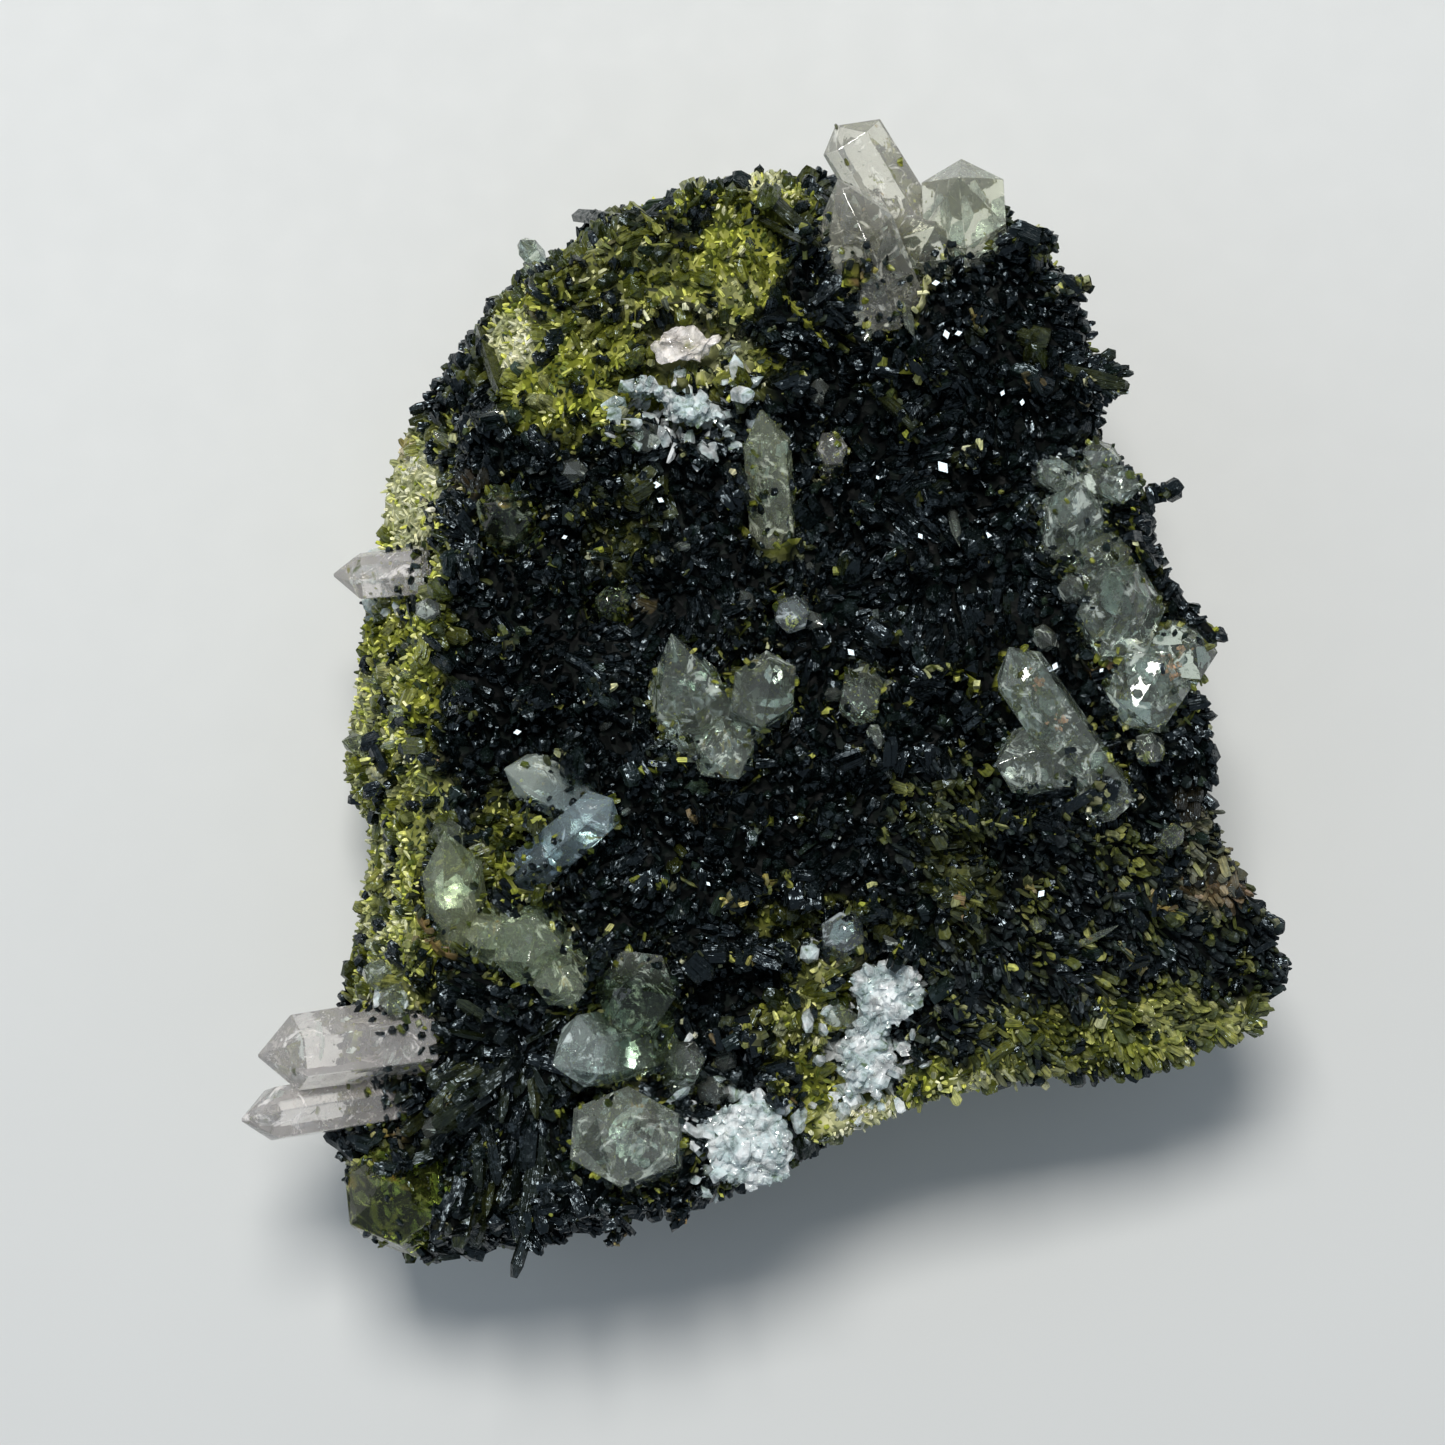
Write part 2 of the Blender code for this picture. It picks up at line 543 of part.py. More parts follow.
def main():
    for obj in list(bpy.data.objects):
        bpy.data.objects.remove(obj)
    cluster = bpy.data.collections.new("epidote_crystal_cluster")
    helpers = bpy.data.collections.new("cutters")
    bpy.context.scene.collection.children.link(cluster)
    bpy.context.scene.collection.children.link(helpers)
    rock_colour = material("epidote_rock", (0.035, 0.05, 0.025), 0.4)
    clear = material("quartz_clear", (0.86, 0.9, 0.86), 0.05, 0.9)
    milky = material("quartz_milky", (0.82, 0.84, 0.78), 0.35, 0.3)

    rock = new_object("epidote_matrix", rock_mesh(), cluster)
    prisms = helper(new_object("prisms", epidote_mesh(), helpers))
    boolean(rock, "UNION", prisms)
    cutters = make_quartz(cluster, helpers, clear, POINTS, point_mesh)
    cutters += make_quartz(cluster, helpers, milky, CRUSTS, crust_mesh)
    for cutter in cutters:
        boolean(rock, "DIFFERENCE", cutter)
    bake(rock, MOST_CHIPS)
    rock.data.materials.clear()
    rock.data.materials.append(rock_colour)


main()
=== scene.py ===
import math
import random

import bpy
import numpy as np
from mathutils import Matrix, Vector, noise
from mathutils.bvhtree import BVHTree


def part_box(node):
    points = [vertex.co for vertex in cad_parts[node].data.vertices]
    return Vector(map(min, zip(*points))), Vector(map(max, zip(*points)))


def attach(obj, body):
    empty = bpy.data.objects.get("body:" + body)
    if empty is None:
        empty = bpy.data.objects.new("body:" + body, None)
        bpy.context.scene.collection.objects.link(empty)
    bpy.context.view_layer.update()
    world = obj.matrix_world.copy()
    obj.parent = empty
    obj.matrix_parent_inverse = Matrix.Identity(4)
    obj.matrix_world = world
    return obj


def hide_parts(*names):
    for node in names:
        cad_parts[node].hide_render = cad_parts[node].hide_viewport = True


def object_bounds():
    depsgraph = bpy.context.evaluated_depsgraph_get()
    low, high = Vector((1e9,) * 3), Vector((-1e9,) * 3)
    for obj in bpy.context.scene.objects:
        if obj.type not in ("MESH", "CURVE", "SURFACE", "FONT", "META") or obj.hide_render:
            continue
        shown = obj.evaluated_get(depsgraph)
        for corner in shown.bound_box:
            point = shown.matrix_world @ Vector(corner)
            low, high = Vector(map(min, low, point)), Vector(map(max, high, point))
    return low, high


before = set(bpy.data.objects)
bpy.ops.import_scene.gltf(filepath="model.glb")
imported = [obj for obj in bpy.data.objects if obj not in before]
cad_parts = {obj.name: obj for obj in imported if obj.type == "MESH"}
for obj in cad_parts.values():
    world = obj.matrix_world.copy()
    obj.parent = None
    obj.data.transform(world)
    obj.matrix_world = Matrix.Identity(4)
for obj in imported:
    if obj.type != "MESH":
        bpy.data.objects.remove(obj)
firstLow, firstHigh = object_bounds()
bpy.ops.object.select_all(action="DESELECT")
dice = np.random.default_rng(41)
mm = 0.001

# the crystal face is laid out in millimetres, this moves it into the frame
faceShift = (-0.45, 0.4)


# small helpers

def pickOnly(thing):
    if bpy.context.object and bpy.context.object.mode != "OBJECT":
        bpy.ops.object.mode_set(mode="OBJECT")
    bpy.ops.object.select_all(action="DESELECT")
    thing.select_set(True)
    bpy.context.view_layer.objects.active = thing


def addModifier(thing, kind, **settings):
    pickOnly(thing)
    modifier = thing.modifiers.new(kind.lower(), kind)
    for key, value in settings.items():
        setattr(modifier, key, value)
    bpy.ops.object.modifier_apply(modifier=modifier.name)


def copyNode(node, name):
    piece = bpy.data.objects.new(name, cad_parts[node].data.copy())
    bpy.context.scene.collection.objects.link(piece)
    piece.data.materials.clear()
    pickOnly(piece)
    bpy.ops.mesh.customdata_custom_splitnormals_clear()
    bpy.ops.object.mode_set(mode="EDIT")
    bpy.ops.mesh.select_all(action="SELECT")
    bpy.ops.mesh.remove_doubles(threshold=0.000003)
    bpy.ops.mesh.normals_make_consistent(inside=False)
    bpy.ops.object.mode_set(mode="OBJECT")
    return piece


def treeOf(things):
    corners, faces = [], []
    for thing in things:
        start = len(corners)
        corners += [v.co.copy() for v in thing.data.vertices]
        faces += [[start + i for i in p.vertices] for p in thing.data.polygons]
    return BVHTree.FromPolygons(corners, faces)


def unit(rows):
    return rows / np.maximum(np.linalg.norm(rows, axis=-1, keepdims=True), 1e-12)


def smooth(x):
    x = np.clip(x, 0, 1)
    return x * x * (3 - 2 * x)


def between(pair, share):
    return pair[0] + (pair[1] - pair[0]) * share


def flattened(wide, least, most=1.0):
    # the second half width is a random share of the first
    return np.stack([wide, wide * dice.uniform(least, most, len(wide))], 1)


def anyTurn(count):
    return dice.uniform(0, 6.28, count)


def onPlan(x, y):
    return (x + faceShift[0]) * mm, (y + faceShift[1]) * mm


def noiseAt(points, size, seed=0.0):
    return np.array([noise.noise(Vector(p) / size + Vector((seed, seed * 0.7, 3.1))) for p in points])


# camera straight above the face, light from beyond the top edge

studio = {
    "floor": (0.70, 0.71, 0.70),
    "sky": (0.76, 0.87, 1.0),
    "skyStrength": 0.31,
    "aim": (0, 0, 0.02),
    "keySpot": (-0.04, 0.26, 0.56),
    "keySize": (0.20, 0.15),
    "keyPower": 3.2,
    "keyColour": (1.0, 0.975, 0.935),
    "fillSpot": (-0.50, 0.10, 0.34),
    "fillSize": (0.34, 0.34),
    "fillPower": 0.35,
    "fillColour": (0.80, 0.90, 1.0),
    "cameraSpot": (-0.00315, -0.00122, 0.256),
    # the frame is 96.333 mm wide at the crystal face, which is 232.5 mm below the camera
    "lens": 36 * 232.5 / 96.333,
}


# where each kind of growth sits on the face: middle x, middle y, half width, half height, share

growthZones = {
    "sugar": [
        (-11.2, 25.6, 8.6, 6.8, 0.72), (-12.6, 20.8, 5.4, 3.6, 1.0), (-15.8, 23.6, 3.0, 3.4, 1.2),
        (-6.4, 26.2, 2.8, 2.8, 0.9), (-1.8, 33.6, 5.4, 2.6, 0.9), (-1.8, 28.4, 2.8, 4.4, 1.1),
        (-3.6, 21.6, 4.6, 2.2, 0.8), (-25.6, 9.0, 4.6, 15.0, 1.0), (-25.5, -9.0, 4.6, 14.0, 1.0),
        (-17.5, -12.6, 3.4, 5.6, 0.75), (4.2, -23.4, 3.8, 6.2, 0.8), (9.4, -27.6, 8.0, 3.0, 1.0),
        (19.0, -23.4, 5.4, 2.4, 0.7), (28.0, -22.4, 8.0, 2.2, 1.0), (19.6, 30.2, 2.2, 3.2, 0.6),
        (24.6, 24.0, 2.0, 4.4, 0.35), (12.8, -10.8, 2.6, 5.0, 0.4), (5.0, -15.0, 6.0, 2.0, 0.45),
        (-9.6, 12.0, 2.6, 4.2, 0.35),
    ],
    "cream": [
        (-16.8, 23.6, 1.9, 2.0, 1.0), (-24.2, 14.2, 2.4, 4.2, 0.95), (-0.6, 34.8, 2.2, 1.2, 0.9),
        (-1.5, 26.9, 1.4, 1.1, 0.5), (-27.6, -3.6, 1.6, 5.0, 0.45), (-27.0, -13.0, 2.2, 5.0, 0.5),
        (10.6, -28.6, 6.8, 1.5, 1.0), (17.0, -26.2, 4.0, 1.2, 0.8), (-22.4, -7.0, 2.6, 4.0, 0.3),
        (29.5, -10.6, 2.0, 3.4, 0.45), (30.0, -21.6, 5.0, 1.6, 0.35), (-9.0, 27.4, 4.0, 3.0, 0.25),
        (4.6, -21.0, 3.0, 3.4, 0.35), (-4.2, 23.6, 3.6, 2.4, 0.6), (-20.6, -9.4, 2.2, 3.0, 0.3),
        (-25.4, -18.4, 2.4, 4.0, 0.4),
    ],
    "ice": [
        (7.4, -22.8, 3.6, 5.8, 1.0), (-1.0, -29.2, 3.8, 3.8, 1.0), (-5.4, 18.8, 4.2, 2.8, 1.0),
        (-26.2, 8.2, 1.8, 2.6, 0.8), (-5.4, -25.2, 1.6, 2.8, 0.9), (4.8, -15.8, 1.6, 2.0, 0.9),
        (20.4, 14.8, 2.0, 2.0, 0.7), (24.6, 2.0, 2.6, 4.0, 0.5), (-26.4, -21.0, 2.0, 3.0, 0.7),
    ],
    "rust": [
        (30.4, -12.8, 2.0, 0.9, 0.5), (31.6, -11.0, 1.0, 1.8, 0.3), (-19.4, 14.4, 1.2, 0.8, 0.3),
        (-25.6, 17.6, 1.6, 1.0, 0.5), (-7.9, 6.0, 0.6, 0.4, 0.6), (28.6, -7.2, 1.0, 1.6, 0.2),
    ],
    "fibre": [(24.6, -15.8, 12.4, 7.8, 1.3), (16.0, -20.0, 7.0, 4.6, 0.8), (12.5, -9.0, 4.0, 5.0, 0.6)],
    "blade": [(-18.0, -28.4, 5.4, 6.2, 1.3)],
}


def zoneShare(kind, points, wander=0.34):
    x = points[:, 0] / mm - faceShift[0]
    y = points[:, 1] / mm - faceShift[1]
    ragged = wander * noiseAt(points, 3.2 * mm, 5.0) + wander * 0.8 * noiseAt(points, 1.1 * mm, 9.0)
    best = np.zeros(len(points))
    for middleX, middleY, halfX, halfY, share in growthZones[kind]:
        far = np.hypot((x - middleX) / halfX, (y - middleY) / halfY)
        inside = smooth((1.18 - far + ragged) / 0.36)
        best = np.maximum(best, min(share, 1.0) * inside * min(1.0, share + 0.2))
    return best


# the rock under the crystals, in place of the matrix solid

rockLook = {
    "grid": 0.48 * mm,
    "smoothing": 5,
    "sinkUnderCrystals": 0.85 * mm,
    "sinkOnFlank": 0.40 * mm,
    "roughness": 0.16 * mm,
    "footHeight": 1.2 * mm,
    "footHollow": 0.9 * mm,
}

quartzNodes = sorted(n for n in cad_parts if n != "epidote_matrix")
matrixTree = treeOf([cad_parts["epidote_matrix"]])
quartzTree = treeOf([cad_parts[n] for n in quartzNodes])
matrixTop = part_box("epidote_matrix")[1].z


def topOf(x, y):
    hit = matrixTree.ray_cast(Vector((x, y, 0.1)), Vector((0, 0, -1)))
    return hit[0].z if hit[0] else matrixTop * 0.6


def vertexRows(mesh, what="co"):
    rows = np.zeros(len(mesh.vertices) * 3)
    mesh.vertices.foreach_get(what, rows)
    return rows.reshape(-1, 3)


def growRock():
    rock = copyNode("epidote_matrix", "rock")
    addModifier(rock, "REMESH", mode="VOXEL", voxel_size=rockLook["grid"])
    addModifier(rock, "SMOOTH", factor=0.5, iterations=rockLook["smoothing"])
    spots = vertexRows(rock.data)
    normals = vertexRows(rock.data, "normal")
    up = smooth((normals[:, 2] + 0.1) / 0.6) * smooth((spots[:, 2] - 8 * mm) / (7 * mm))
    sugar = zoneShare("sugar", spots)
    flank, face = rockLook["sinkOnFlank"], rockLook["sinkUnderCrystals"]
    sink = flank + (face - flank) * up * (1 - 0.4 * sugar)
    rough = noiseAt(spots, 2.6 * mm, 1.0) * 1.2 + noiseAt(spots, 0.9 * mm, 2.0) * 0.8
    moved = spots - normals * (sink + rockLook["roughness"] * (1 + rough))[:, None]
    # near the floor it keeps its outline and gets shallow hollows underneath
    foot = smooth((rockLook["footHeight"] - spots[:, 2]) / (1.0 * mm))
    hollow = np.clip(noiseAt(spots, 4.5 * mm, 6.0) + 0.6 * noiseAt(spots, 1.5 * mm, 7.0) + 0.1, 0, 1)
    footed = spots.copy()
    footed[:, 2] = spots[:, 2] * (spots[:, 2] > 0.05 * mm) + hollow * rockLook["footHollow"]
    moved = moved * (1 - foot[:, None]) + footed * foot[:, None]
    moved[:, 2] = np.maximum(moved[:, 2], 0)
    rock.data.vertices.foreach_set("co", moved.ravel())
    rock.data.update()
    rock.data.shade_smooth()
    return rock


rock = growRock()
print("rock", len(rock.data.polygons))


# one crystal of each habit, half width 1 and height 1, that the growths are copied from

def selectFaces(thing, test):
    bpy.ops.object.mode_set(mode="OBJECT")
    for face in thing.data.polygons:
        face.select = test(face)
    for edge in thing.data.edges:
        edge.select = False
    for vertex in thing.data.vertices:
        vertex.select = False
    for face in thing.data.polygons:
        if face.select:
            for i in face.vertices:
                thing.data.vertices[i].select = True
    bpy.ops.object.mode_set(mode="EDIT")
    bpy.ops.mesh.select_mode(type="FACE")


def crystalHabit(name, sides, shoulder, tip, lean=(0.0, 0.0)):
    # a prism up to the shoulder, and from there a tip that is drawn in and leans
    bpy.ops.mesh.primitive_cylinder_add(vertices=sides, radius=1, depth=shoulder, location=(0, 0, shoulder / 2))
    habit = bpy.context.object
    habit.name = name
    bpy.ops.object.transform_apply(location=True, rotation=True, scale=True)
    selectFaces(habit, lambda face: face.center.z > shoulder - 0.01)
    bpy.ops.mesh.extrude_region_move(TRANSFORM_OT_translate={"value": (*lean, 1 - shoulder)})
    bpy.ops.transform.resize(value=(*tip, 1))
    bpy.ops.mesh.select_all(action="SELECT")
    bpy.ops.mesh.normals_make_consistent(inside=False)
    bpy.ops.object.mode_set(mode="OBJECT")
    return habit


habits = {
    "chisel": crystalHabit("chisel", 4, 0.78, (0.16, 0.80)),
    "roof": crystalHabit("roof", 6, 0.80, (0.70, 0.12), (0.10, 0.0)),
    "slant": crystalHabit("slant", 5, 0.72, (0.42, 0.30), (0.34, 0.12)),
    "lath": crystalHabit("lath", 4, 0.86, (0.30, 0.45), (0.18, 0.0)),
    "grain": crystalHabit("grain", 5, 0.55, (0.45, 0.40), (0.12, -0.08)),
    "block": crystalHabit("block", 4, 0.70, (0.62, 0.50), (0.10, 0.05)),
    "quartz": crystalHabit("quartz", 6, 0.62, (0.06, 0.04), (0.10, 0.04)),
    "quartzBlunt": crystalHabit("quartzBlunt", 6, 0.66, (0.30, 0.12), (-0.08, 0.10)),
}


def habitArrays(habit):
    mesh = habit.data
    spots = vertexRows(mesh)
    faces = [list(p.vertices) for p in mesh.polygons]
    across = []
    for p in mesh.polygons:
        side = Vector((0, 0, 1)).cross(p.normal)
        side = side.normalized() if side.length > 0.05 else Vector((1, 0, 0))
        across += [(Vector(mesh.vertices[i].co).dot(side), mesh.vertices[i].co.z) for i in p.vertices]
    return spots, faces, np.array(across)


habitRows = {name: habitArrays(habit) for name, habit in habits.items()}
for habit in habits.values():
    bpy.data.objects.remove(habit)


# joined meshes of many crystals

def newBatch():
    return {"spots": [], "faces": [], "uv": [], "marks": [], "count": 0}


def addCrystals(batch, habit, roots, axes, widths, heights, turns, marks):
    # widths holds both half widths, marks holds pick, sugar, cream and rust of each crystal
    if len(roots) == 0:
        return
    spots, faces, across = habitRows[habit]
    axes = unit(axes)
    helper = np.where(np.abs(axes[:, 2:3]) < 0.8, np.array([[0.0, 0.0, 1.0]]), np.array([[1.0, 0.0, 0.0]]))
    sideA = unit(np.cross(helper, axes))
    sideB = np.cross(axes, sideA)
    c, s = np.cos(turns)[:, None], np.sin(turns)[:, None]
    first, second = sideA * c + sideB * s, sideB * c - sideA * s
    made = (roots[:, None, :]
            + first[:, None, :] * (spots[None, :, 0:1] * widths[:, None, 0:1])
            + second[:, None, :] * (spots[None, :, 1:2] * widths[:, None, 1:2])
            + axes[:, None, :] * (spots[None, :, 2:3] * heights[:, None, None]))
    made = np.clip(made, np.array(firstLow) + 2e-6, np.array(firstHigh) - 2e-6)
    start = batch["count"]
    batch["spots"].append(made.reshape(-1, 3))
    step = len(spots)
    for i in range(len(roots)):
        base = start + i * step
        batch["faces"] += [[base + k for k in face] for face in faces]
    shift = dice.uniform(0, 0.05, (len(roots), 1, 2))
    uv = across[None, :, :] * np.stack([widths[:, 0], heights], 1)[:, None, :] + shift
    batch["uv"].append(uv.reshape(-1, 2))
    batch["marks"].append(np.repeat(marks, step, axis=0))
    batch["count"] = start + step * len(roots)


def addMixed(batch, mix, kinds, roots, axes, widths, heights, marks, free=True):
    # mix gives each habit its stretch of kinds
    for habit, low, high in mix:
        rows = (kinds >= low) & (kinds < high) & free
        addCrystals(batch, habit, roots[rows], axes[rows], widths[rows], heights[rows], anyTurn(rows.sum()),
                    marks[rows])


def batchPiece(batch, name):
    mesh = bpy.data.meshes.new(name)
    mesh.from_pydata(np.concatenate(batch["spots"]).tolist(), [], batch["faces"])
    layer = mesh.uv_layers.new(name="grain")
    layer.data.foreach_set("uv", np.concatenate(batch["uv"]).ravel())
    marks = np.concatenate(batch["marks"])
    for i, label in enumerate(("pick", "sugar", "cream", "rust")):
        attribute = mesh.attributes.new(label, "FLOAT", "POINT")
        attribute.data.foreach_set("value", np.ascontiguousarray(marks[:, i]))
    mesh.validate()
    piece = bpy.data.objects.new(name, mesh)
    bpy.context.scene.collection.objects.link(piece)
    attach(piece, "root")
    print(name, len(mesh.vertices), "points", sum(len(f) - 2 for f in batch["faces"]), "triangles")
    return piece


def thinOut(spots, spacing):
    # keeps spots that are at least their own spacing apart
    cell = spacing.max()
    grid, keep = {}, []
    for i, p in enumerate(spots):
        key = (int(p[0] // cell), int(p[1] // cell), int(p[2] // cell))
        near = False
        for a in (-1, 0, 1):
            for b in (-1, 0, 1):
                for c in (-1, 0, 1):
                    for j in grid.get((key[0] + a, key[1] + b, key[2] + c), ()):
                        d = spots[j] - p
                        if d[0] * d[0] + d[1] * d[1] + d[2] * d[2] < (0.5 * (spacing[i] + spacing[j])) ** 2:
                            near = True
                            break
                    if near:
                        break
                if near:
                    break
            if near:
                break
        if not near:
            keep.append(i)
            grid.setdefault(key, []).append(i)
    return np.array(keep, dtype=int)


def surfaceOf(mesh):
    mesh.calc_loop_triangles()
    points, normals = vertexRows(mesh), vertexRows(mesh, "normal")
    triangles = np.array([t.vertices[:] for t in mesh.loop_triangles])
    return {
        "points": points,
        "triangles": triangles,
        "areas": np.array([t.area for t in mesh.loop_triangles]),
        "middles": points[triangles].mean(axis=1),
        "facing": normals[triangles].mean(axis=1),
    }


def scatter(surface, count, test):
    weight = surface["areas"] * test(surface["middles"], surface["facing"])
    chosen = dice.choice(len(weight), size=count, p=weight / weight.sum())
    share = dice.dirichlet((1, 1, 1), size=count)
    spots = (surface["points"][surface["triangles"][chosen]] * share[:, :, None]).sum(axis=1)
    return spots, unit(surface["facing"][chosen])


rockPoints = vertexRows(rock.data)
rockNormals = vertexRows(rock.data, "normal")
rockSurface = surfaceOf(rock.data)


def onFace(spots, normals):
    return smooth((normals[:, 2] + 0.05) / 0.45) * smooth((spots[:, 2] - 9 * mm) / (5 * mm))


def freeOfQuartz(roots, tips, keptUnder=0.25, keptBeside=0.45):
    # most crystals stop short of the quartz, a few are grown into it
    free = np.ones(len(roots), dtype=bool)
    for i in range(len(roots)):
        above = quartzTree.ray_cast(Vector(roots[i]), Vector((0, 0, 1)))
        if above[0] is not None and above[0].z - roots[i][2] < 7 * mm:
            free[i] = dice.random() < keptUnder
            continue
        side = quartzTree.ray_cast(Vector(roots[i]), Vector(tips[i] - roots[i]).normalized())
        if side[0] is not None and side[3] < np.linalg.norm(tips[i] - roots[i]):
            free[i] = dice.random() < keptBeside
    return free


def underQuartz(spots):
    covered = np.zeros(len(spots))
    for i in range(len(spots)):
        above = quartzTree.ray_cast(Vector(spots[i]), Vector((0, 0, 1)))
        if above[0] is not None and above[0].z - spots[i][2] < 7 * mm:
            covered[i] = 1.0
    return covered


def keepUnderSkin(roots, axes, heights, sunk, over):
    # shortens what would stand out of the solid by more than it should
    result = heights.copy()
    for i in range(len(roots)):
        tip = Vector(roots[i] + axes[i] * heights[i])
        near, normal, index, far = matrixTree.find_nearest(tip)
        out = (tip - near).dot(normal)
        if out > over:
            result[i] = max(heights[i] - (out - over), sunk * 1.25)
    return result


# dark prisms of the main field

darkField = {
    "tries": 38000,
    "spacing": (0.38 * mm, 1.08 * mm),
    "halfWidth": (0.22 * mm, 0.78 * mm),
    "reach": (0.45 * mm, 1.45 * mm),
    "sunk": 0.6 * mm,
    "clumpSize": 3.0 * mm,
    "clumpSpread": 0.55,
    "companions": 2,
    "companionShare": 0.62,
}


def clumpAxes(spots, normals, size, spread, seed):
    # crystals lean together within a clump and apart at its edge
    rng = random.Random(seed)
    centres, leans = [], []
    order = list(range(len(spots)))
    rng.shuffle(order)
    for i in order[:2600]:
        x, y, z = spots[i]
        if all((x - c[0]) ** 2 + (y - c[1]) ** 2 + (z - c[2]) ** 2 > size * size for c in centres):
            centres.append(spots[i])
            leans.append([rng.gauss(0, spread), rng.gauss(0, spread), rng.gauss(0, spread * 0.4)])
    centres, leans = np.array(centres), np.array(leans)
    axes = np.zeros_like(normals)
    for i in range(len(spots)):
        offset = spots[i] - centres
        nearest = int(np.argmin((offset ** 2).sum(axis=1)))
        axes[i] = normals[i] + leans[nearest] + 0.55 * offset[nearest] / size
    return unit(axes + dice.normal(0, 0.20, axes.shape))


def growDarkField():
    spots, normals = scatter(rockSurface, darkField["tries"], onFace)
    sugar, fibre, blade, cream = (zoneShare(kind, spots) for kind in ("sugar", "fibre", "blade", "cream"))
    chance = (1 - 0.92 * sugar) * (1 - 0.80 * fibre) * (1 - 0.75 * blade) * (1 - cream)
    keep = dice.random(len(spots)) < chance
    spots, normals, sugar = spots[keep], normals[keep], sugar[keep]
    size = np.clip(dice.lognormal(-1.05, 0.5, len(spots)), 0.05, 1)
    keep = thinOut(spots, between(darkField["spacing"], size))
    spots, normals, sugar, size = spots[keep], normals[keep], sugar[keep], size[keep]
    count = len(spots)
    axes = clumpAxes(spots, normals, darkField["clumpSize"], darkField["clumpSpread"], 7)
    wide = between(darkField["halfWidth"], size)
    widths = flattened(wide, 0.5)
    reach = np.clip(0.8 * size + dice.normal(0.15, 0.25, count), 0, 1)
    heights = between(darkField["reach"], reach) + darkField["sunk"]
    roots = spots - axes * darkField["sunk"]
    heights = keepUnderSkin(roots, axes, heights, darkField["sunk"], 0.25 * mm)
    free = freeOfQuartz(spots, roots + axes * heights[:, None])
    pick = np.clip(dice.beta(1.2, 3.4, count) + 0.35 * sugar * dice.random(count), 0, 1)
    # a few green ones in tufts, more of them beside the sugary zones and under the quartz
    tuft = smooth((noiseAt(spots, 1.7 * mm, 21.0) - 0.32) / 0.2) * (dice.random(count) < 0.35)
    green = np.maximum(0.14 * tuft * dice.random(count), 0.30 * sugar * (dice.random(count) < 0.6))
    green = np.maximum(green, 0.4 * underQuartz(spots) * dice.random(count))
    marks = np.stack([pick, green, 0 * pick, zoneShare("rust", spots) * 0.6], 1)
    batch = newBatch()
    kinds = dice.choice(5, size=count, p=[0.30, 0.26, 0.18, 0.18, 0.08])
    turns = anyTurn(count)
    for kind, habit in enumerate(("chisel", "roof", "slant", "block", "lath")):
        rows = free & (kinds == kind)
        addCrystals(batch, habit, roots[rows], axes[rows], widths[rows], heights[rows], turns[rows],
                    marks[rows])
    # side by side with the larger ones, shorter, so that their ends make steps
    beside = newBatch()
    for companion in range(darkField["companions"]):
        rows = free & (size > 0.16) & (dice.random(count) < darkField["companionShare"])
        number = rows.sum()
        sideways = unit(np.cross(axes[rows], dice.normal(0, 1, (number, 3))))
        shift = sideways * (wide[rows] * dice.uniform(0.7, 1.25, number))[:, None]
        shorter = darkField["sunk"] + (heights[rows] - darkField["sunk"]) * dice.uniform(0.45, 0.95, number)
        leaning = unit(axes[rows] + dice.normal(0, 0.07, (number, 3)))
        narrower = widths[rows] * dice.uniform(0.45, 0.85, (number, 1))
        habit = ("block", "chisel")[companion % 2]
        addCrystals(beside, habit, roots[rows] + shift, leaning, narrower, shorter, turns[rows], marks[rows])
    return batchPiece(batch, "dark_prisms"), batchPiece(beside, "dark_steps")


darkPrisms, darkSteps = growDarkField()


# sugary yellow green grains, on the face and down the flanks

sugarField = {
    "tries": 44000,
    "spacing": (0.29 * mm, 0.50 * mm),
    "halfWidth": (0.10 * mm, 0.26 * mm),
    "reach": (0.15 * mm, 0.60 * mm),
    "sunk": 0.3 * mm,
}

flankField = {
    "tries": 26000,
    "spacing": (0.52 * mm, 0.95 * mm),
    "halfWidth": (0.14 * mm, 0.40 * mm),
    "reach": (0.12 * mm, 0.50 * mm),
    "sunk": 0.4 * mm,
}

grainMix = (("grain", 0, 1), ("block", 1, 2), ("slant", 2, 3), ("chisel", 3, 4))


def growGrains(name, field, test, marksOf, tilt, over):
    spots, normals = scatter(rockSurface, field["tries"], test)
    size = dice.beta(1.6, 2.6, len(spots))
    keep = thinOut(spots, between(field["spacing"], size))
    spots, normals, size = spots[keep], normals[keep], size[keep]
    axes = unit(normals + dice.normal(0, tilt, normals.shape))
    widths = flattened(between(field["halfWidth"], size), 0.45)
    heights = between(field["reach"], dice.beta(1.8, 2.2, len(spots))) + field["sunk"]
    roots = spots - axes * field["sunk"]
    heights = keepUnderSkin(roots, axes, heights, field["sunk"], over)
    free = freeOfQuartz(spots, roots + axes * heights[:, None])
    marks = marksOf(spots)
    batch = newBatch()
    kinds = dice.choice(4, size=len(spots), p=[0.34, 0.28, 0.20, 0.18])
    addMixed(batch, grainMix, kinds, roots, axes, widths, heights, marks, free)
    return batchPiece(batch, name)


def sugarMarks(spots):
    patch = noiseAt(spots, 2.4 * mm, 31.0) + 0.5 * noiseAt(spots, 0.9 * mm, 32.0)
    zone = zoneShare("sugar", spots)
    pick = np.clip(dice.beta(1.3, 1.5, len(spots)) * 0.9 + 0.7 * patch + 0.06 * zone, 0, 1)
    sugar = np.clip(0.2 + 0.8 * zone - 0.75 * (dice.random(len(spots)) < 0.26 - 0.30 * patch), 0.02, 1)
    cream = zoneShare("cream", spots) * (dice.random(len(spots)) < 0.75)
    return np.stack([pick, sugar, cream, zoneShare("rust", spots)], 1)


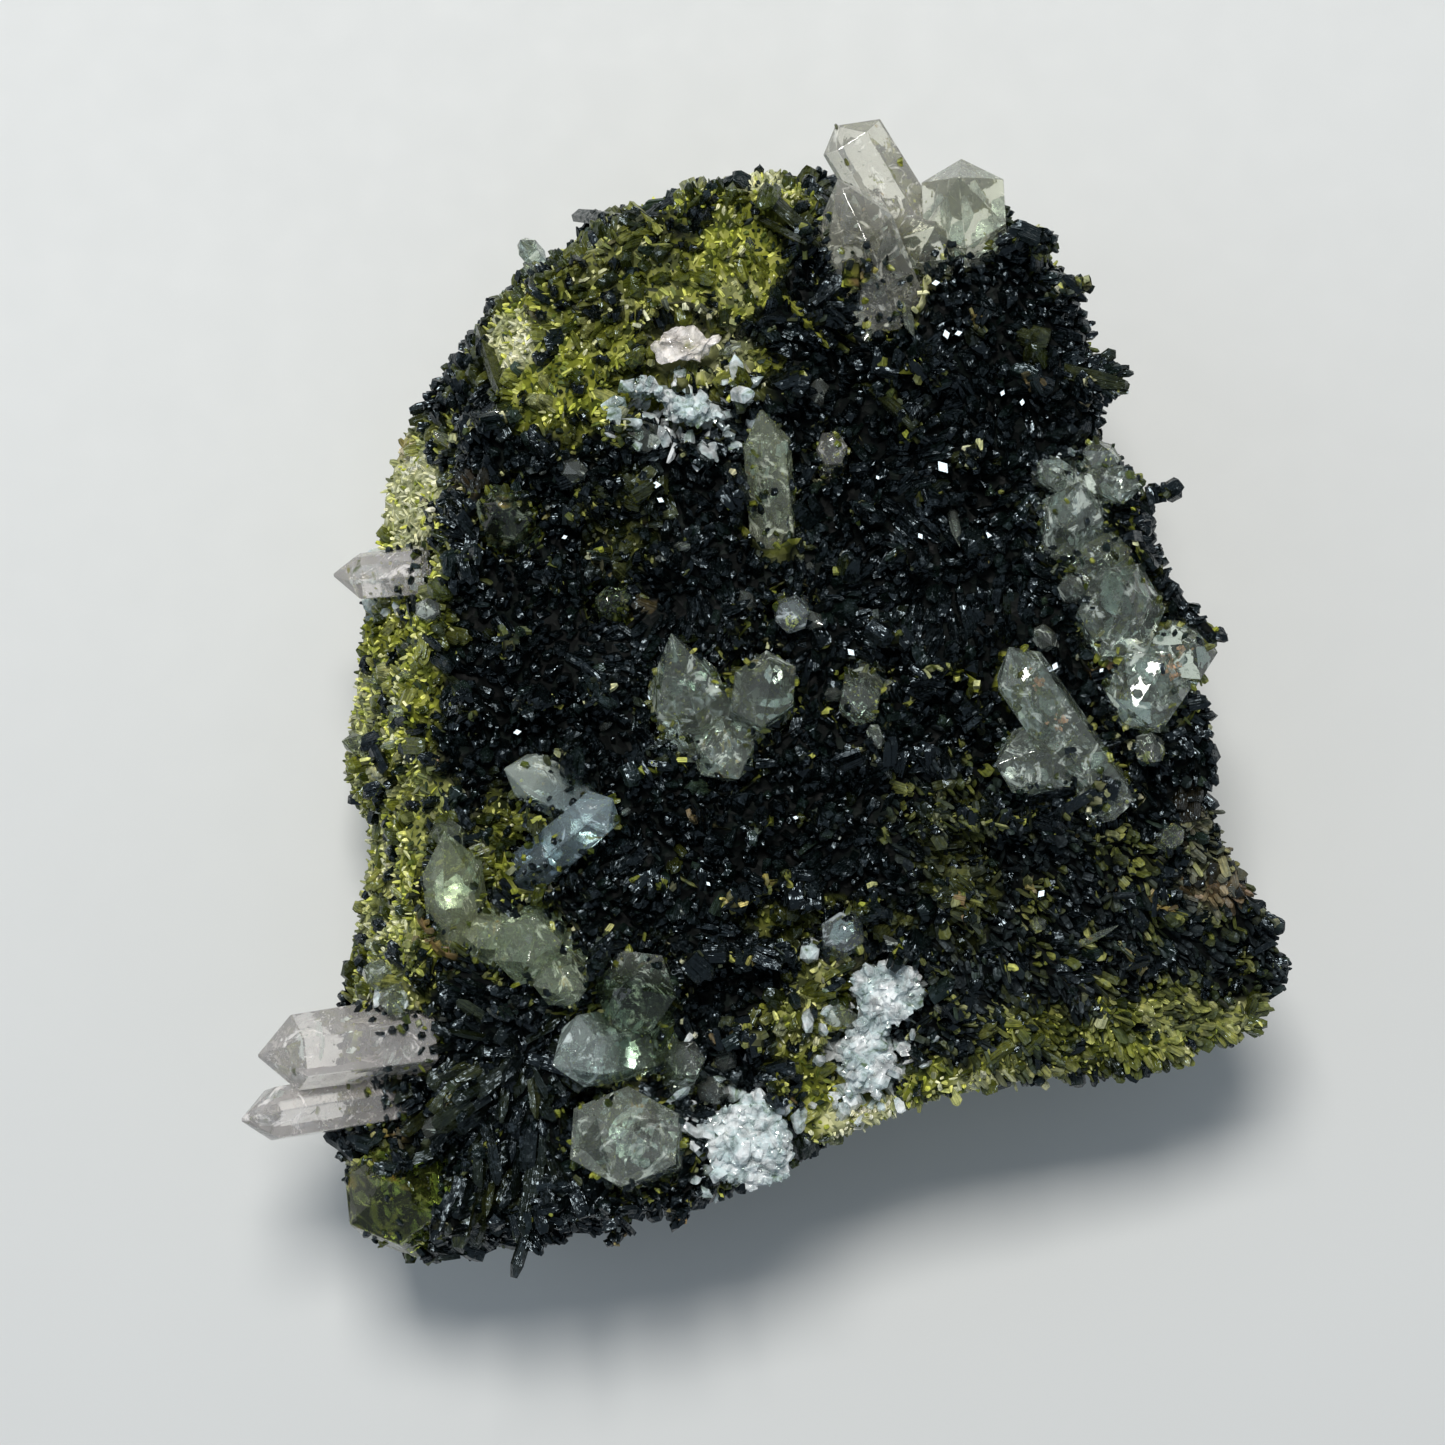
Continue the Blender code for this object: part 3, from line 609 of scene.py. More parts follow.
def flankMarks(spots):
    patch = noiseAt(spots, 5.0 * mm, 33.0)
    fine = noiseAt(spots, 1.6 * mm, 35.0)
    pick = np.clip(dice.beta(1.6, 2.6, len(spots)) + 0.3 * fine, 0, 1)
    sugar = np.clip(0.30 + 0.9 * patch + 0.6 * fine - 0.4 * (dice.random(len(spots)) < 0.2), 0.04, 0.9)
    pale = smooth((noiseAt(spots, 6.5 * mm, 37.0) - 0.06) / 0.3) * (dice.random(len(spots)) < 0.5)
    cream = np.maximum(0.6 * pale, 0.6 * zoneShare("cream", spots))
    rust = np.maximum(zoneShare("rust", spots), 0.5 * smooth((noiseAt(spots, 4.0 * mm, 39.0) - 0.3) / 0.2))
    return np.stack([pick, sugar, cream, rust], 1)


def onGreenFace(spots, normals):
    return onFace(spots, normals) * np.maximum(zoneShare("sugar", spots), zoneShare("cream", spots))


def onFlank(spots, normals):
    return (1 - onFace(spots, normals)) * (normals[:, 2] > -0.72) * (spots[:, 2] > 0.5 * mm)


sugarGrains = growGrains("sugar_grains", sugarField, onGreenFace, sugarMarks, 0.55, 0.20 * mm)
flankGrains = growGrains("flank_grains", flankField, onFlank, flankMarks, 0.45, 0.18 * mm)


# fibrous laths at the lower right, and the spray of dark blades at the lower left

fibreField = {
    "tries": 12000,
    "spacing": (0.30 * mm, 0.66 * mm),
    "halfWidth": (0.14 * mm, 0.50 * mm),
    "length": (0.6 * mm, 1.7 * mm),
    "sunk": 0.25 * mm,
    "lie": (0.66, -0.58, 0.42),
    "mix": (("lath", 0, 0.6), ("roof", 0.6, 1)),
}

bladeSpray = {
    "heart": (-16.2, -23.6),
    "count": 260,
    "halfWidth": (0.55 * mm, 0.95 * mm),
    "length": (2.2 * mm, 4.4 * mm),
    "spacing": 1.05 * mm,
    "sunk": 1.2 * mm,
    "mix": (("lath", 0, 0.4), ("roof", 0.4, 0.75), ("chisel", 0.75, 1)),
}


def growFibres():
    spots, normals = scatter(rockSurface, fibreField["tries"],
                             lambda s, n: onFace(s, n) * (zoneShare("fibre", s) + 0.001))
    size = dice.beta(1.6, 2.4, len(spots))
    keep = thinOut(spots, between(fibreField["spacing"], size))
    spots, normals, size = spots[keep], normals[keep], size[keep]
    count = len(spots)
    # they lie towards the corner, and swirl
    swirl = np.stack([noiseAt(spots, 4.2 * mm, 51.0), noiseAt(spots, 4.2 * mm, 53.0),
                      0.5 * noiseAt(spots, 3.0 * mm, 55.0)], 1)
    lie = np.array(fibreField["lie"])[None, :] * np.where(dice.random(count) < 0.12, -1, 1)[:, None]
    axes = unit(lie + 0.45 * normals + 1.15 * swirl + dice.normal(0, 0.28, normals.shape))
    inward = (axes * normals).sum(axis=1)
    axes = unit(axes + normals * np.maximum(0.18 - inward, 0)[:, None])
    widths = flattened(between(fibreField["halfWidth"], size), 0.3, 0.7)
    heights = between(fibreField["length"], np.clip(0.6 * size + 0.6 * dice.random(count), 0, 1))
    roots = spots - normals * fibreField["sunk"] + normals * (0.25 * mm * dice.random(count))[:, None]
    heights = keepUnderSkin(roots, axes, heights, fibreField["sunk"], 0.25 * mm)
    free = freeOfQuartz(spots, roots + axes * heights[:, None])
    pick = np.clip(0.12 + 0.75 * dice.beta(1.4, 2.2, count) + 0.45 * noiseAt(spots, 1.8 * mm, 57.0), 0, 1)
    mossy = noiseAt(spots, 2.4 * mm, 59.0) + 0.5 * noiseAt(spots, 0.8 * mm, 60.0)
    olive = np.maximum(0.34 * smooth(mossy / 0.35 + 0.15), 0.5 * zoneShare("sugar", spots))
    olive = olive * dice.uniform(0.45, 1.0, count)
    marks = np.stack([pick, olive, 0.5 * zoneShare("cream", spots), zoneShare("rust", spots)], 1)
    batch = newBatch()
    addMixed(batch, fibreField["mix"], dice.random(count), roots, axes, widths, heights, marks, free)
    return batchPiece(batch, "fibres")


def growBlades():
    heart = np.array(onPlan(*bladeSpray["heart"]))
    spots, normals = scatter(rockSurface, bladeSpray["count"] * 5,
                             lambda s, n: onFace(s, n) * zoneShare("blade", s, 0.15))
    keep = thinOut(spots, np.full(len(spots), bladeSpray["spacing"]))
    spots, normals = spots[keep], normals[keep]
    count = len(spots)
    away = np.concatenate([unit(spots[:, :2] - heart), np.zeros((count, 1))], 1)
    axes = unit(away + 0.42 * normals + dice.normal(0, 0.20, normals.shape))
    widths = flattened(dice.uniform(*bladeSpray["halfWidth"], count), 0.35, 0.7)
    heights = dice.uniform(*bladeSpray["length"], count)
    roots = spots - axes * bladeSpray["sunk"]
    for again in range(2):
        heights = keepUnderSkin(roots, axes, heights, 0.8 * mm, 0.35 * mm)
    free = freeOfQuartz(spots, roots + axes * heights[:, None])
    pick = dice.beta(1.2, 3.6, count)
    marks = np.stack([pick, 0.05 * dice.random(count), 0 * pick, 0 * pick], 1)
    batch = newBatch()
    addMixed(batch, bladeSpray["mix"], dice.random(count), roots, axes, widths, heights, marks, free)
    return batchPiece(batch, "blade_spray")


fibres = growFibres()
blades = growBlades()


# the large epidotes that stand out one by one:
# from x, y to x, y, half width, lift at the tip, pick, sugar, habit

loneEpidotes = [
    (0.4, 33.2, 4.0, 29.8, 0.80, 1.2, 0.42, 0.05, "roof"),
    (-0.6, 32.2, 2.8, 29.6, 0.45, 0.8, 0.30, 0.05, "lath"),
    (3.8, 26.0, 7.4, 28.8, 0.95, 1.4, 0.05, 0.0, "slant"),
    (1.2, 26.9, 4.4, 23.0, 0.62, 1.0, 0.50, 0.35, "lath"),
    (7.2, 20.6, 10.0, 17.8, 0.80, 1.0, 0.45, 0.03, "chisel"),
    (-12.0, 33.2, -7.8, 31.4, 0.75, 0.7, 0.10, 0.05, "roof"),
    (20.6, 21.6, 24.0, 20.6, 1.00, 1.0, 0.40, 0.05, "block"),
    (16.2, -7.0, 20.6, -6.2, 0.75, 1.1, 0.10, 0.0, "roof"),
    (19.4, -7.8, 22.6, -5.9, 0.70, 0.8, 0.12, 0.0, "chisel"),
    (23.8, 13.0, 25.2, 13.2, 0.80, 0.5, 0.08, 0.0, "slant"),
    (-18.9, 24.4, -17.4, 20.2, 0.80, 0.7, 0.30, 0.12, "lath"),
    (27.4, 6.0, 29.8, 3.6, 0.90, 0.7, 0.06, 0.0, "chisel"),
    (18.6, 7.4, 21.4, 7.0, 0.75, 0.7, 0.05, 0.0, "roof"),
    (10.0, 32.0, 10.8, 33.8, 0.62, 0.8, 0.15, 0.0, "roof"),
    (-11.6, -0.2, -9.6, 0.9, 0.40, 0.6, 0.95, 0.85, "lath"),
    (-22.6, -12.0, -19.6, -10.6, 0.22, 2.6, 0.80, 0.55, "lath"),
    (-21.6, -6.6, -19.4, -8.8, 0.85, 0.8, 0.04, 0.0, "block"),
    (10.4, 28.6, 12.0, 28.0, 0.80, 0.9, 0.60, 0.05, "roof"),
    (6.0, 29.4, 7.6, 28.8, 0.50, 0.8, 0.35, 0.0, "block"),
    (-8.6, 32.6, -6.8, 30.8, 0.50, 0.8, 0.60, 0.4, "chisel"),
]


# end faces that happen to send the light to the eye: x, y, half width

glints = [
    (11.3, 27.2, 0.30), (12.0, 23.9, 0.36), (12.8, 23.9, 0.28), (15.8, 20.1, 0.24), (17.1, 19.5, 0.26),
    (12.0, 15.2, 0.55), (-7.1, 13.9, 0.36), (-6.8, 12.9, 0.28), (10.4, 10.7, 0.26), (14.8, 10.7, 0.34),
    (5.8, 3.0, 0.34), (19.4, 2.0, 0.32), (-16.3, -2.3, 0.30), (-7.5, 0.0, 0.28), (18.5, -13.0, 0.34),
    (7.6, 14.6, 0.18), (-13.2, 10.6, 0.22), (2.2, -8.0, 0.20), (-3.6, -12.4, 0.20), (22.4, 1.8, 0.20),
]


def growLoneEpidotes():
    batch = newBatch()
    for fromX, fromY, toX, toY, half, lift, pick, sugar, habit in loneEpidotes:
        a, b = np.array([*onPlan(fromX, fromY), 0.0]), np.array([*onPlan(toX, toY), 0.0])
        a[2] = topOf(a[0], a[1]) - 1.3 * mm
        b[2] = max(topOf(b[0], b[1]) - 0.9 * mm + lift * 0.6 * mm, a[2])
        axis = b - a
        wide = half * mm
        addCrystals(batch, habit, np.array([a - axis * 0.12]), np.array([axis]), np.array([[wide, wide * 0.62]]),
                    np.array([np.linalg.norm(axis) * 1.12]), np.array([dice.uniform(0.9, 2.2)]),
                    np.array([[pick, sugar, 0.0, 0.0]]))
    return batchPiece(batch, "lone_epidotes")


def growGlints():
    batch = newBatch()
    towardsEye = np.array(studio["cameraSpot"])
    towardsKey = np.array(studio["keySpot"])
    for x, y, half in glints:
        x, y = onPlan(x, y)
        spot = np.array([[x, y, topOf(x, y) + 0.2 * mm]])
        axis = unit(unit(towardsEye - spot) + unit(towardsKey - spot))
        widths = np.array([[half * 1.5 * mm, half * 1.3 * mm]])
        addCrystals(batch, "block", spot - axis * 1.6 * mm, axis, widths, np.array([1.9 * mm]), anyTurn(1),
                    np.array([[0.1, 0.0, 0.0, 0.0]]))
    return batchPiece(batch, "fresh_faces")


loneCrystals = growLoneEpidotes()
freshFaces = growGlints()
print("epidote grown")


# short ways to the shader nodes

def newMaterial(name):
    material = bpy.data.materials.new(name)
    material.use_nodes = True
    tree = material.node_tree
    tree.nodes.clear()
    out = tree.nodes.new("ShaderNodeOutputMaterial")
    shader = tree.nodes.new("ShaderNodeBsdfPrincipled")
    tree.links.new(shader.outputs["BSDF"], out.inputs["Surface"])
    return material, tree, shader, out


def attributeValue(tree, name):
    node = tree.nodes.new("ShaderNodeAttribute")
    node.attribute_name = name
    return node.outputs["Fac"]


def objectPlace(tree, scale=(1, 1, 1), source="Object"):
    place = tree.nodes.new("ShaderNodeTexCoord")
    mapping = tree.nodes.new("ShaderNodeMapping")
    mapping.inputs["Scale"].default_value = scale
    tree.links.new(place.outputs[source], mapping.inputs["Vector"])
    return mapping.outputs["Vector"]


def noiseField(tree, vector, scale, detail=4.0, roughness=0.55, distortion=0.0):
    node = tree.nodes.new("ShaderNodeTexNoise")
    node.inputs["Scale"].default_value = scale
    node.inputs["Detail"].default_value = detail
    node.inputs["Roughness"].default_value = roughness
    node.inputs["Distortion"].default_value = distortion
    tree.links.new(vector, node.inputs["Vector"])
    return node.outputs["Fac"]


def ramp(tree, value, stops):
    node = tree.nodes.new("ShaderNodeValToRGB")
    while len(node.color_ramp.elements) < len(stops):
        node.color_ramp.elements.new(0.5)
    for element, (at, colour) in zip(node.color_ramp.elements, stops):
        element.position = at
        element.color = (*colour, 1) if len(colour) == 3 else colour
    tree.links.new(value, node.inputs["Fac"])
    return node.outputs["Color"]


def blend(tree, factor, first, second, kind="MIX"):
    node = tree.nodes.new("ShaderNodeMix")
    node.data_type = "RGBA"
    node.blend_type = kind
    for socket, value in ((node.inputs[0], factor), (node.inputs[6], first), (node.inputs[7], second)):
        if isinstance(value, (int, float)):
            socket.default_value = value
        elif isinstance(value, tuple):
            socket.default_value = (*value, 1)
        else:
            tree.links.new(value, socket)
    return node.outputs[2]


def span(tree, value, fromLow, fromHigh, toLow, toHigh):
    node = tree.nodes.new("ShaderNodeMapRange")
    for key, number in (("From Min", fromLow), ("From Max", fromHigh), ("To Min", toLow), ("To Max", toHigh)):
        node.inputs[key].default_value = number
    tree.links.new(value, node.inputs["Value"])
    return node.outputs["Result"]


def feed(tree, value, shader, socket):
    tree.links.new(value, shader.inputs[socket])


def sums(tree, kind, first, second):
    node = tree.nodes.new("ShaderNodeMath")
    node.operation = kind
    for socket, value in ((node.inputs[0], first), (node.inputs[1], second)):
        if isinstance(value, (int, float)):
            socket.default_value = value
        else:
            tree.links.new(value, socket)
    return node.outputs[0]


def bump(tree, shader, height, strength, distance, before=None):
    node = tree.nodes.new("ShaderNodeBump")
    node.inputs["Strength"].default_value = strength
    node.inputs["Distance"].default_value = distance
    tree.links.new(height, node.inputs["Height"])
    if before:
        tree.links.new(before, node.inputs["Normal"])
    tree.links.new(node.outputs["Normal"], shader.inputs["Normal"])
    return node.outputs["Normal"]


def facetField(tree, vector, scale):
    # every cell is a flat face with a tilt of its own
    cells = tree.nodes.new("ShaderNodeTexVoronoi")
    cells.inputs["Scale"].default_value = scale
    tree.links.new(vector, cells.inputs["Vector"])
    away = tree.nodes.new("ShaderNodeVectorMath")
    away.operation = "SUBTRACT"
    tree.links.new(vector, away.inputs[0])
    tree.links.new(cells.outputs["Position"], away.inputs[1])
    tilt = tree.nodes.new("ShaderNodeVectorMath")
    tilt.operation = "SUBTRACT"
    tree.links.new(cells.outputs["Color"], tilt.inputs[0])
    tilt.inputs[1].default_value = (0.5, 0.5, 0.5)
    height = tree.nodes.new("ShaderNodeVectorMath")
    height.operation = "DOT_PRODUCT"
    tree.links.new(away.outputs["Vector"], height.inputs[0])
    tree.links.new(tilt.outputs["Vector"], height.inputs[1])
    return height.outputs["Value"]


# epidote looks

epidoteColours = {
    "dark": [(0.0, (0.0006, 0.0012, 0.0013)), (0.4, (0.0016, 0.0032, 0.0031)),
             (0.75, (0.006, 0.012, 0.009)), (1.0, (0.040, 0.062, 0.036))],
    "sugar": [(0.0, (0.014, 0.026, 0.004)), (0.2, (0.13, 0.17, 0.012)), (0.45, (0.50, 0.54, 0.055)),
              (0.75, (0.84, 0.85, 0.22)), (1.0, (0.96, 0.95, 0.60))],
    "cream": [(0.0, (0.44, 0.46, 0.20)), (0.5, (0.80, 0.79, 0.52)), (1.0, (0.95, 0.93, 0.80))],
    "rust": [(0.0, (0.10, 0.09, 0.03)), (0.6, (0.44, 0.28, 0.12)), (1.0, (0.82, 0.48, 0.30))],
}


def epidoteColour(tree, pick, fine):
    # pick runs along each ramp, and an attribute of each name lays its ramp over the dark one
    colour = ramp(tree, pick, epidoteColours["dark"])
    for kind in ("sugar", "cream", "rust"):
        colour = blend(tree, attributeValue(tree, kind), colour, ramp(tree, pick, epidoteColours[kind]))
    return blend(tree, 1.0, colour, fine, "MULTIPLY")


def crystalMaterial(name, gloss, lineDepth, facetSize, facetDepth):
    # gloss holds the lowest and highest roughness
    material, tree, shader, out = newMaterial(name)
    place = objectPlace(tree)
    lines = noiseField(tree, objectPlace(tree, (1, 0.06, 1), "UV"), 8600, 1.0, 0.6)
    cloud = noiseField(tree, place, 1500, 2.0)
    fine = ramp(tree, cloud, [(0.25, (0.40, 0.44, 0.42)), (0.55, (1.0, 1.0, 1.0)), (0.8, (1.6, 1.5, 1.3))])
    streaks = ramp(tree, lines, [(0.35, (0.6, 0.6, 0.6)), (0.62, (1.3, 1.3, 1.3))])
    colour = epidoteColour(tree, attributeValue(tree, "pick"), fine)
    feed(tree, blend(tree, 1.0, colour, streaks, "MULTIPLY"), shader, "Base Color")
    rougher = sums(tree, "MULTIPLY", attributeValue(tree, "sugar"), 0.15)
    feed(tree, sums(tree, "ADD", span(tree, cloud, 0.3, 0.7, *gloss), rougher), shader, "Roughness")
    shader.inputs["IOR"].default_value = 1.74
    shader.inputs["Specular IOR Level"].default_value = 0.34
    # painted reflection colour: the highlights are tinted blue by the material itself, in place of a bluish light
    shader.inputs["Specular Tint"].default_value = (0.74, 0.90, 1.0, 1)
    first = bump(tree, shader, lines, 1.0, lineDepth)
    bump(tree, shader, facetField(tree, place, 1 / facetSize), facetDepth, 1.0, first)
    return material


def rockMaterial():
    material, tree, shader, out = newMaterial("epidoteRock")
    place = objectPlace(tree)
    grains = tree.nodes.new("ShaderNodeTexVoronoi")
    grains.inputs["Scale"].default_value = 1900
    tree.links.new(place, grains.inputs["Vector"])
    grainTone = tree.nodes.new("ShaderNodeSeparateColor")
    tree.links.new(grains.outputs["Color"], grainTone.inputs["Color"])
    cloud = noiseField(tree, place, 420, 5.0, 0.6)
    ownPick = sums(tree, "MULTIPLY", grainTone.outputs[0], 0.6)
    pick = sums(tree, "ADD", ownPick, sums(tree, "MULTIPLY", attributeValue(tree, "pick"), 0.4))
    fine = ramp(tree, cloud, [(0.28, (0.30, 0.32, 0.30)), (0.55, (0.85, 0.85, 0.82)), (0.75, (1.15, 1.12, 1.05))])
    feed(tree, epidoteColour(tree, pick, fine), shader, "Base Color")
    feed(tree, span(tree, grainTone.outputs[1], 0, 1, 0.55, 0.85), shader, "Roughness")
    shader.inputs["IOR"].default_value = 1.45
    shader.inputs["Specular IOR Level"].default_value = 0.14
    first = bump(tree, shader, grains.outputs["Distance"], 0.8, 0.12 * mm)
    bump(tree, shader, noiseField(tree, place, 3600, 5.0), 0.5, 0.08 * mm, first)
    return material


crystalLook = crystalMaterial("epidoteCrystals", (0.08, 0.30), 0.07 * mm, 0.22 * mm, 0.50)
granularLook = crystalMaterial("epidoteGrains", (0.42, 0.72), 0.04 * mm, 0.16 * mm, 0.50)
freshLook = crystalMaterial("epidoteFreshFaces", (0.10, 0.16), 0.01 * mm, 0.60 * mm, 0.06)
for piece in (darkPrisms, darkSteps, blades, loneCrystals):
    piece.data.materials.append(crystalLook)
for piece in (sugarGrains, flankGrains, fibres):
    piece.data.materials.append(granularLook)
freshFaces.data.materials.append(freshLook)

# the rock's marks: as the flanks, and on the face as the zones there
rockMarks = flankMarks(rockPoints)
rockUp = onFace(rockPoints, rockNormals)
# faces that point down get less of the yellow green, so the underside comes out darker
rockUnder = smooth((-rockNormals[:, 2] - 0.5) / 0.4)
rockSugar = zoneShare("sugar", rockPoints)
flankSugar = rockMarks[:, 1] * (1 - rockUp) * (1 - 0.6 * rockUnder)
rockPaint = {
    "pick": rockMarks[:, 0] * (0.8 - 0.75 * rockUp * (1 - rockSugar)),
    # on the face the rock is a darker green than the grains grown on it: partly its own colour, partly painted shade
    # in the gaps between the grains
    "sugar": flankSugar + rockUp * np.maximum(0.45 * rockSugar, 0.4 * underQuartz(rockPoints)),
    "cream": rockMarks[:, 2] * (1 - rockUp) + rockUp * 0.6 * zoneShare("cream", rockPoints),
    "rust": rockMarks[:, 3] * (1 - rockUp) + rockUp * zoneShare("rust", rockPoints),
}
for label, rows in rockPaint.items():
    attribute = rock.data.attributes.new(label, "FLOAT", "POINT")
    attribute.data.foreach_set("value", np.ascontiguousarray(rows))
rock.data.materials.append(rockMaterial())
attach(rock, "root")
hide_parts("epidote_matrix")
print("epidote painted")


# clear quartz, a refined copy in place of each solid

quartzLooks = {
    # absorption tint, its density, see-through share, base colour, green and brown inside, how hammered
    "clear": ((0.82, 0.92, 0.80), 30, 0.94, (0.86, 0.95, 0.85), 0.28, 0.18),
    "glassy": ((0.82, 0.92, 0.82), 26, 0.945, (0.88, 0.97, 0.88), 0.22, 0.38),
    "smoky": ((0.94, 0.93, 0.89), 18, 0.90, (0.93, 0.94, 0.88), 0.08, 0.14),
    "green": ((0.82, 0.92, 0.66), 36, 0.90, (0.88, 0.96, 0.76), 0.50, 0.55),
    "mossy": ((0.66, 0.74, 0.40), 150, 0.965, (0.34, 0.40, 0.10), 0.90, 0.34),
    "pink": ((0.98, 0.96, 0.93), 10, 0.76, (1.0, 0.96, 0.93), 0.05, 0.12),
    "blue": ((0.82, 0.90, 0.94), 24, 0.90, (0.84, 0.94, 0.97), 0.12, 0.10),
    "pale": ((0.88, 0.93, 0.86), 24, 0.90, (0.90, 0.96, 0.90), 0.16, 0.85),
    "dark": ((0.56, 0.66, 0.48), 150, 0.985, (0.36, 0.44, 0.32), 0.45, 0.28),
}

# how many cracks each kind has inside, against the others
quartzCracks = {"clear": 0.8, "glassy": 1.0, "smoky": 0.25, "green": 1.4, "mossy": 0.5, "pink": 0.3, "blue": 1.0,
                "pale": 1.6, "dark": 0.7}

quartzKinds = {
    "quartz_top_group": "smoky", "quartz_centre_group": "clear", "quartz_small_point": "clear",
    "quartz_slanting_pair": "glassy", "quartz_right_edge_group": "glassy", "quartz_left_pair": "blue",
    "quartz_low_left_group": "green", "quartz_corner_pair": "pink", "quartz_green_corner": "mossy",
    "quartz_bottom_group": "pale", "quartz_bright_point": "blue", "quartz_upper_blade": "green",
    "quartz_upper_stub": "smoky", "quartz_smoky_point": "dark", "quartz_left_edge": "pink",
    "quartz_dark_stub": "dark", "quartz_low_right_point": "clear", "quartz_fan_point": "blue",
}

# crystals of a group that differ from it: x, y, reach, tone, how much less see-through
crystalTones = [
    (7.8, 34.3, 4.6, (1.0, 0.98, 0.95), 0.10), (7.2, 28.6, 3.4, (0.76, 0.74, 0.64), 0.0),
    (13.4, 33.0, 3.2, (0.98, 1.0, 0.88), 0.08),
    (-8.4, -20.0, 2.6, (0.34, 0.44, 0.30), -0.08), (-11.8, -23.0, 2.3, (0.90, 0.97, 1.0), 0.06),
    (-7.6, -23.4, 2.0, (0.50, 0.60, 0.42), -0.05), (-8.6, -29.1, 3.6, (0.97, 1.0, 0.94), 0.02),
    (-15.2, -5.4, 2.2, (1.0, 1.0, 0.88), 0.16), (-10.8, -7.8, 2.2, (0.88, 0.97, 1.0), 0.10),
    (-14.5, -11.4, 2.4, (0.55, 0.64, 0.72), -0.03), (-20.2, -14.0, 2.6, (1.0, 1.0, 0.84), 0.04),
    (-20.2, -10.2, 1.8, (0.92, 0.96, 0.86), 0.0), (-15.4, -16.5, 3.2, (0.94, 1.0, 0.94), 0.0),
]

milkyNodes = ["quartz_bottom_crust", "quartz_white_patch", "quartz_white_knob", "quartz_glassy_patch"]


def paintTones(piece):
    spots = vertexRows(piece.data)
    plan = spots[:, :2] / mm - np.array(faceShift[:2])
    tones, hazes, best = np.ones((len(spots), 4)), np.zeros(len(spots)), np.full(len(spots), 1.25)
    for x, y, reach, tone, haze in crystalTones:
        far = np.hypot(plan[:, 0] - x, plan[:, 1] - y) / reach
        nearer = far < best
        best[nearer] = far[nearer]
        tones[nearer, :3], hazes[nearer] = tone, haze
    colours = piece.data.attributes.new("tone", "FLOAT_COLOR", "POINT")
    colours.data.foreach_set("color", tones.ravel())
    hazy = piece.data.attributes.new("haze", "FLOAT", "POINT")
    hazy.data.foreach_set("value", hazes)


def quartzMaterial(name, tint, density, clear, base, stained, hammered):
    material, tree, shader, out = newMaterial(name)
    place = objectPlace(tree)
    cloud = noiseField(tree, place, 300, 3.0, 0.6, 0.6)
    darker, lighter = tuple(c * 0.85 for c in base), tuple(min(1, c * 1.15) for c in base)
    colour = ramp(tree, cloud, [(0.3, darker), (0.6, base), (0.8, lighter)])
    growth = ramp(tree, cloud, [(0.40, (0.03, 0.05, 0.012)), (0.52, (0.20, 0.24, 0.03)), (0.64, (0.42, 0.24, 0.06))])
    stain = noiseField(tree, place, 360, 4.0, 0.7, 1.2)
    inside = span(tree, stain, 0.64 - 0.12 * stained, 0.70 - 0.08 * stained, 0, 0.9)
    own = tree.nodes.new("ShaderNodeAttribute")
    own.attribute_name = "tone"
    toned = blend(tree, 1.0, blend(tree, inside, colour, growth), own.outputs["Color"], "MULTIPLY")
    feed(tree, toned, shader, "Base Color")
    shader.inputs["IOR"].default_value = 1.544
    mist = noiseField(tree, place, 380, 6.0, 0.72, 1.8)
    veil = span(tree, mist, 0.56, 0.62, clear, clear - 0.46)
    dull = sums(tree, "ADD", sums(tree, "MULTIPLY", inside, 0.35), attributeValue(tree, "haze"))
    feed(tree, sums(tree, "SUBTRACT", veil, dull), shader, "Transmission Weight")
    feed(tree, span(tree, mist, 0.42, 0.70, 0.01, 0.14), shader, "Roughness")
    first = bump(tree, shader, facetField(tree, objectPlace(tree, (1, 0.55, 1)), 700), hammered, 1.0)
    bump(tree, shader, facetField(tree, place, 2100), 0.25 * hammered, 1.0, first)
    absorb = tree.nodes.new("ShaderNodeVolumeAbsorption")
    absorb.inputs["Color"].default_value = (*tint, 1)
    absorb.inputs["Density"].default_value = density
    tree.links.new(absorb.outputs["Volume"], out.inputs["Volume"])
    return material


def refineQuartz(node):
    piece = copyNode(node, node.replace("quartz_", "clear_"))
    pickOnly(piece)
    bpy.ops.object.mode_set(mode="EDIT")
    bpy.ops.mesh.select_all(action="SELECT")
    bpy.ops.mesh.dissolve_limited(angle_limit=math.radians(1.5))
    bpy.ops.object.mode_set(mode="OBJECT")
    addModifier(piece, "BEVEL", width=0.07 * mm, segments=1, limit_method="ANGLE",
                angle_limit=math.radians(14), use_clamp_overlap=True)
    addModifier(piece, "TRIANGULATE")
    piece.data.shade_flat()
    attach(piece, "root")
    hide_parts(node)
    return piece


quartzMaterials = {kind: quartzMaterial("quartz" + kind.capitalize(), *look)
                   for kind, look in quartzLooks.items()}
clearPieces = []
for node, kind in quartzKinds.items():
    piece = refineQuartz(node)
    piece.data.materials.append(quartzMaterials[kind])
    piece["cracked"] = quartzCracks[kind]
    paintTones(piece)
    clearPieces.append(piece)
print("clear quartz", len(quartzKinds))


# what has grown on the quartz and in it: grains low on its sides, flecks in veils, cracks, moss and stains

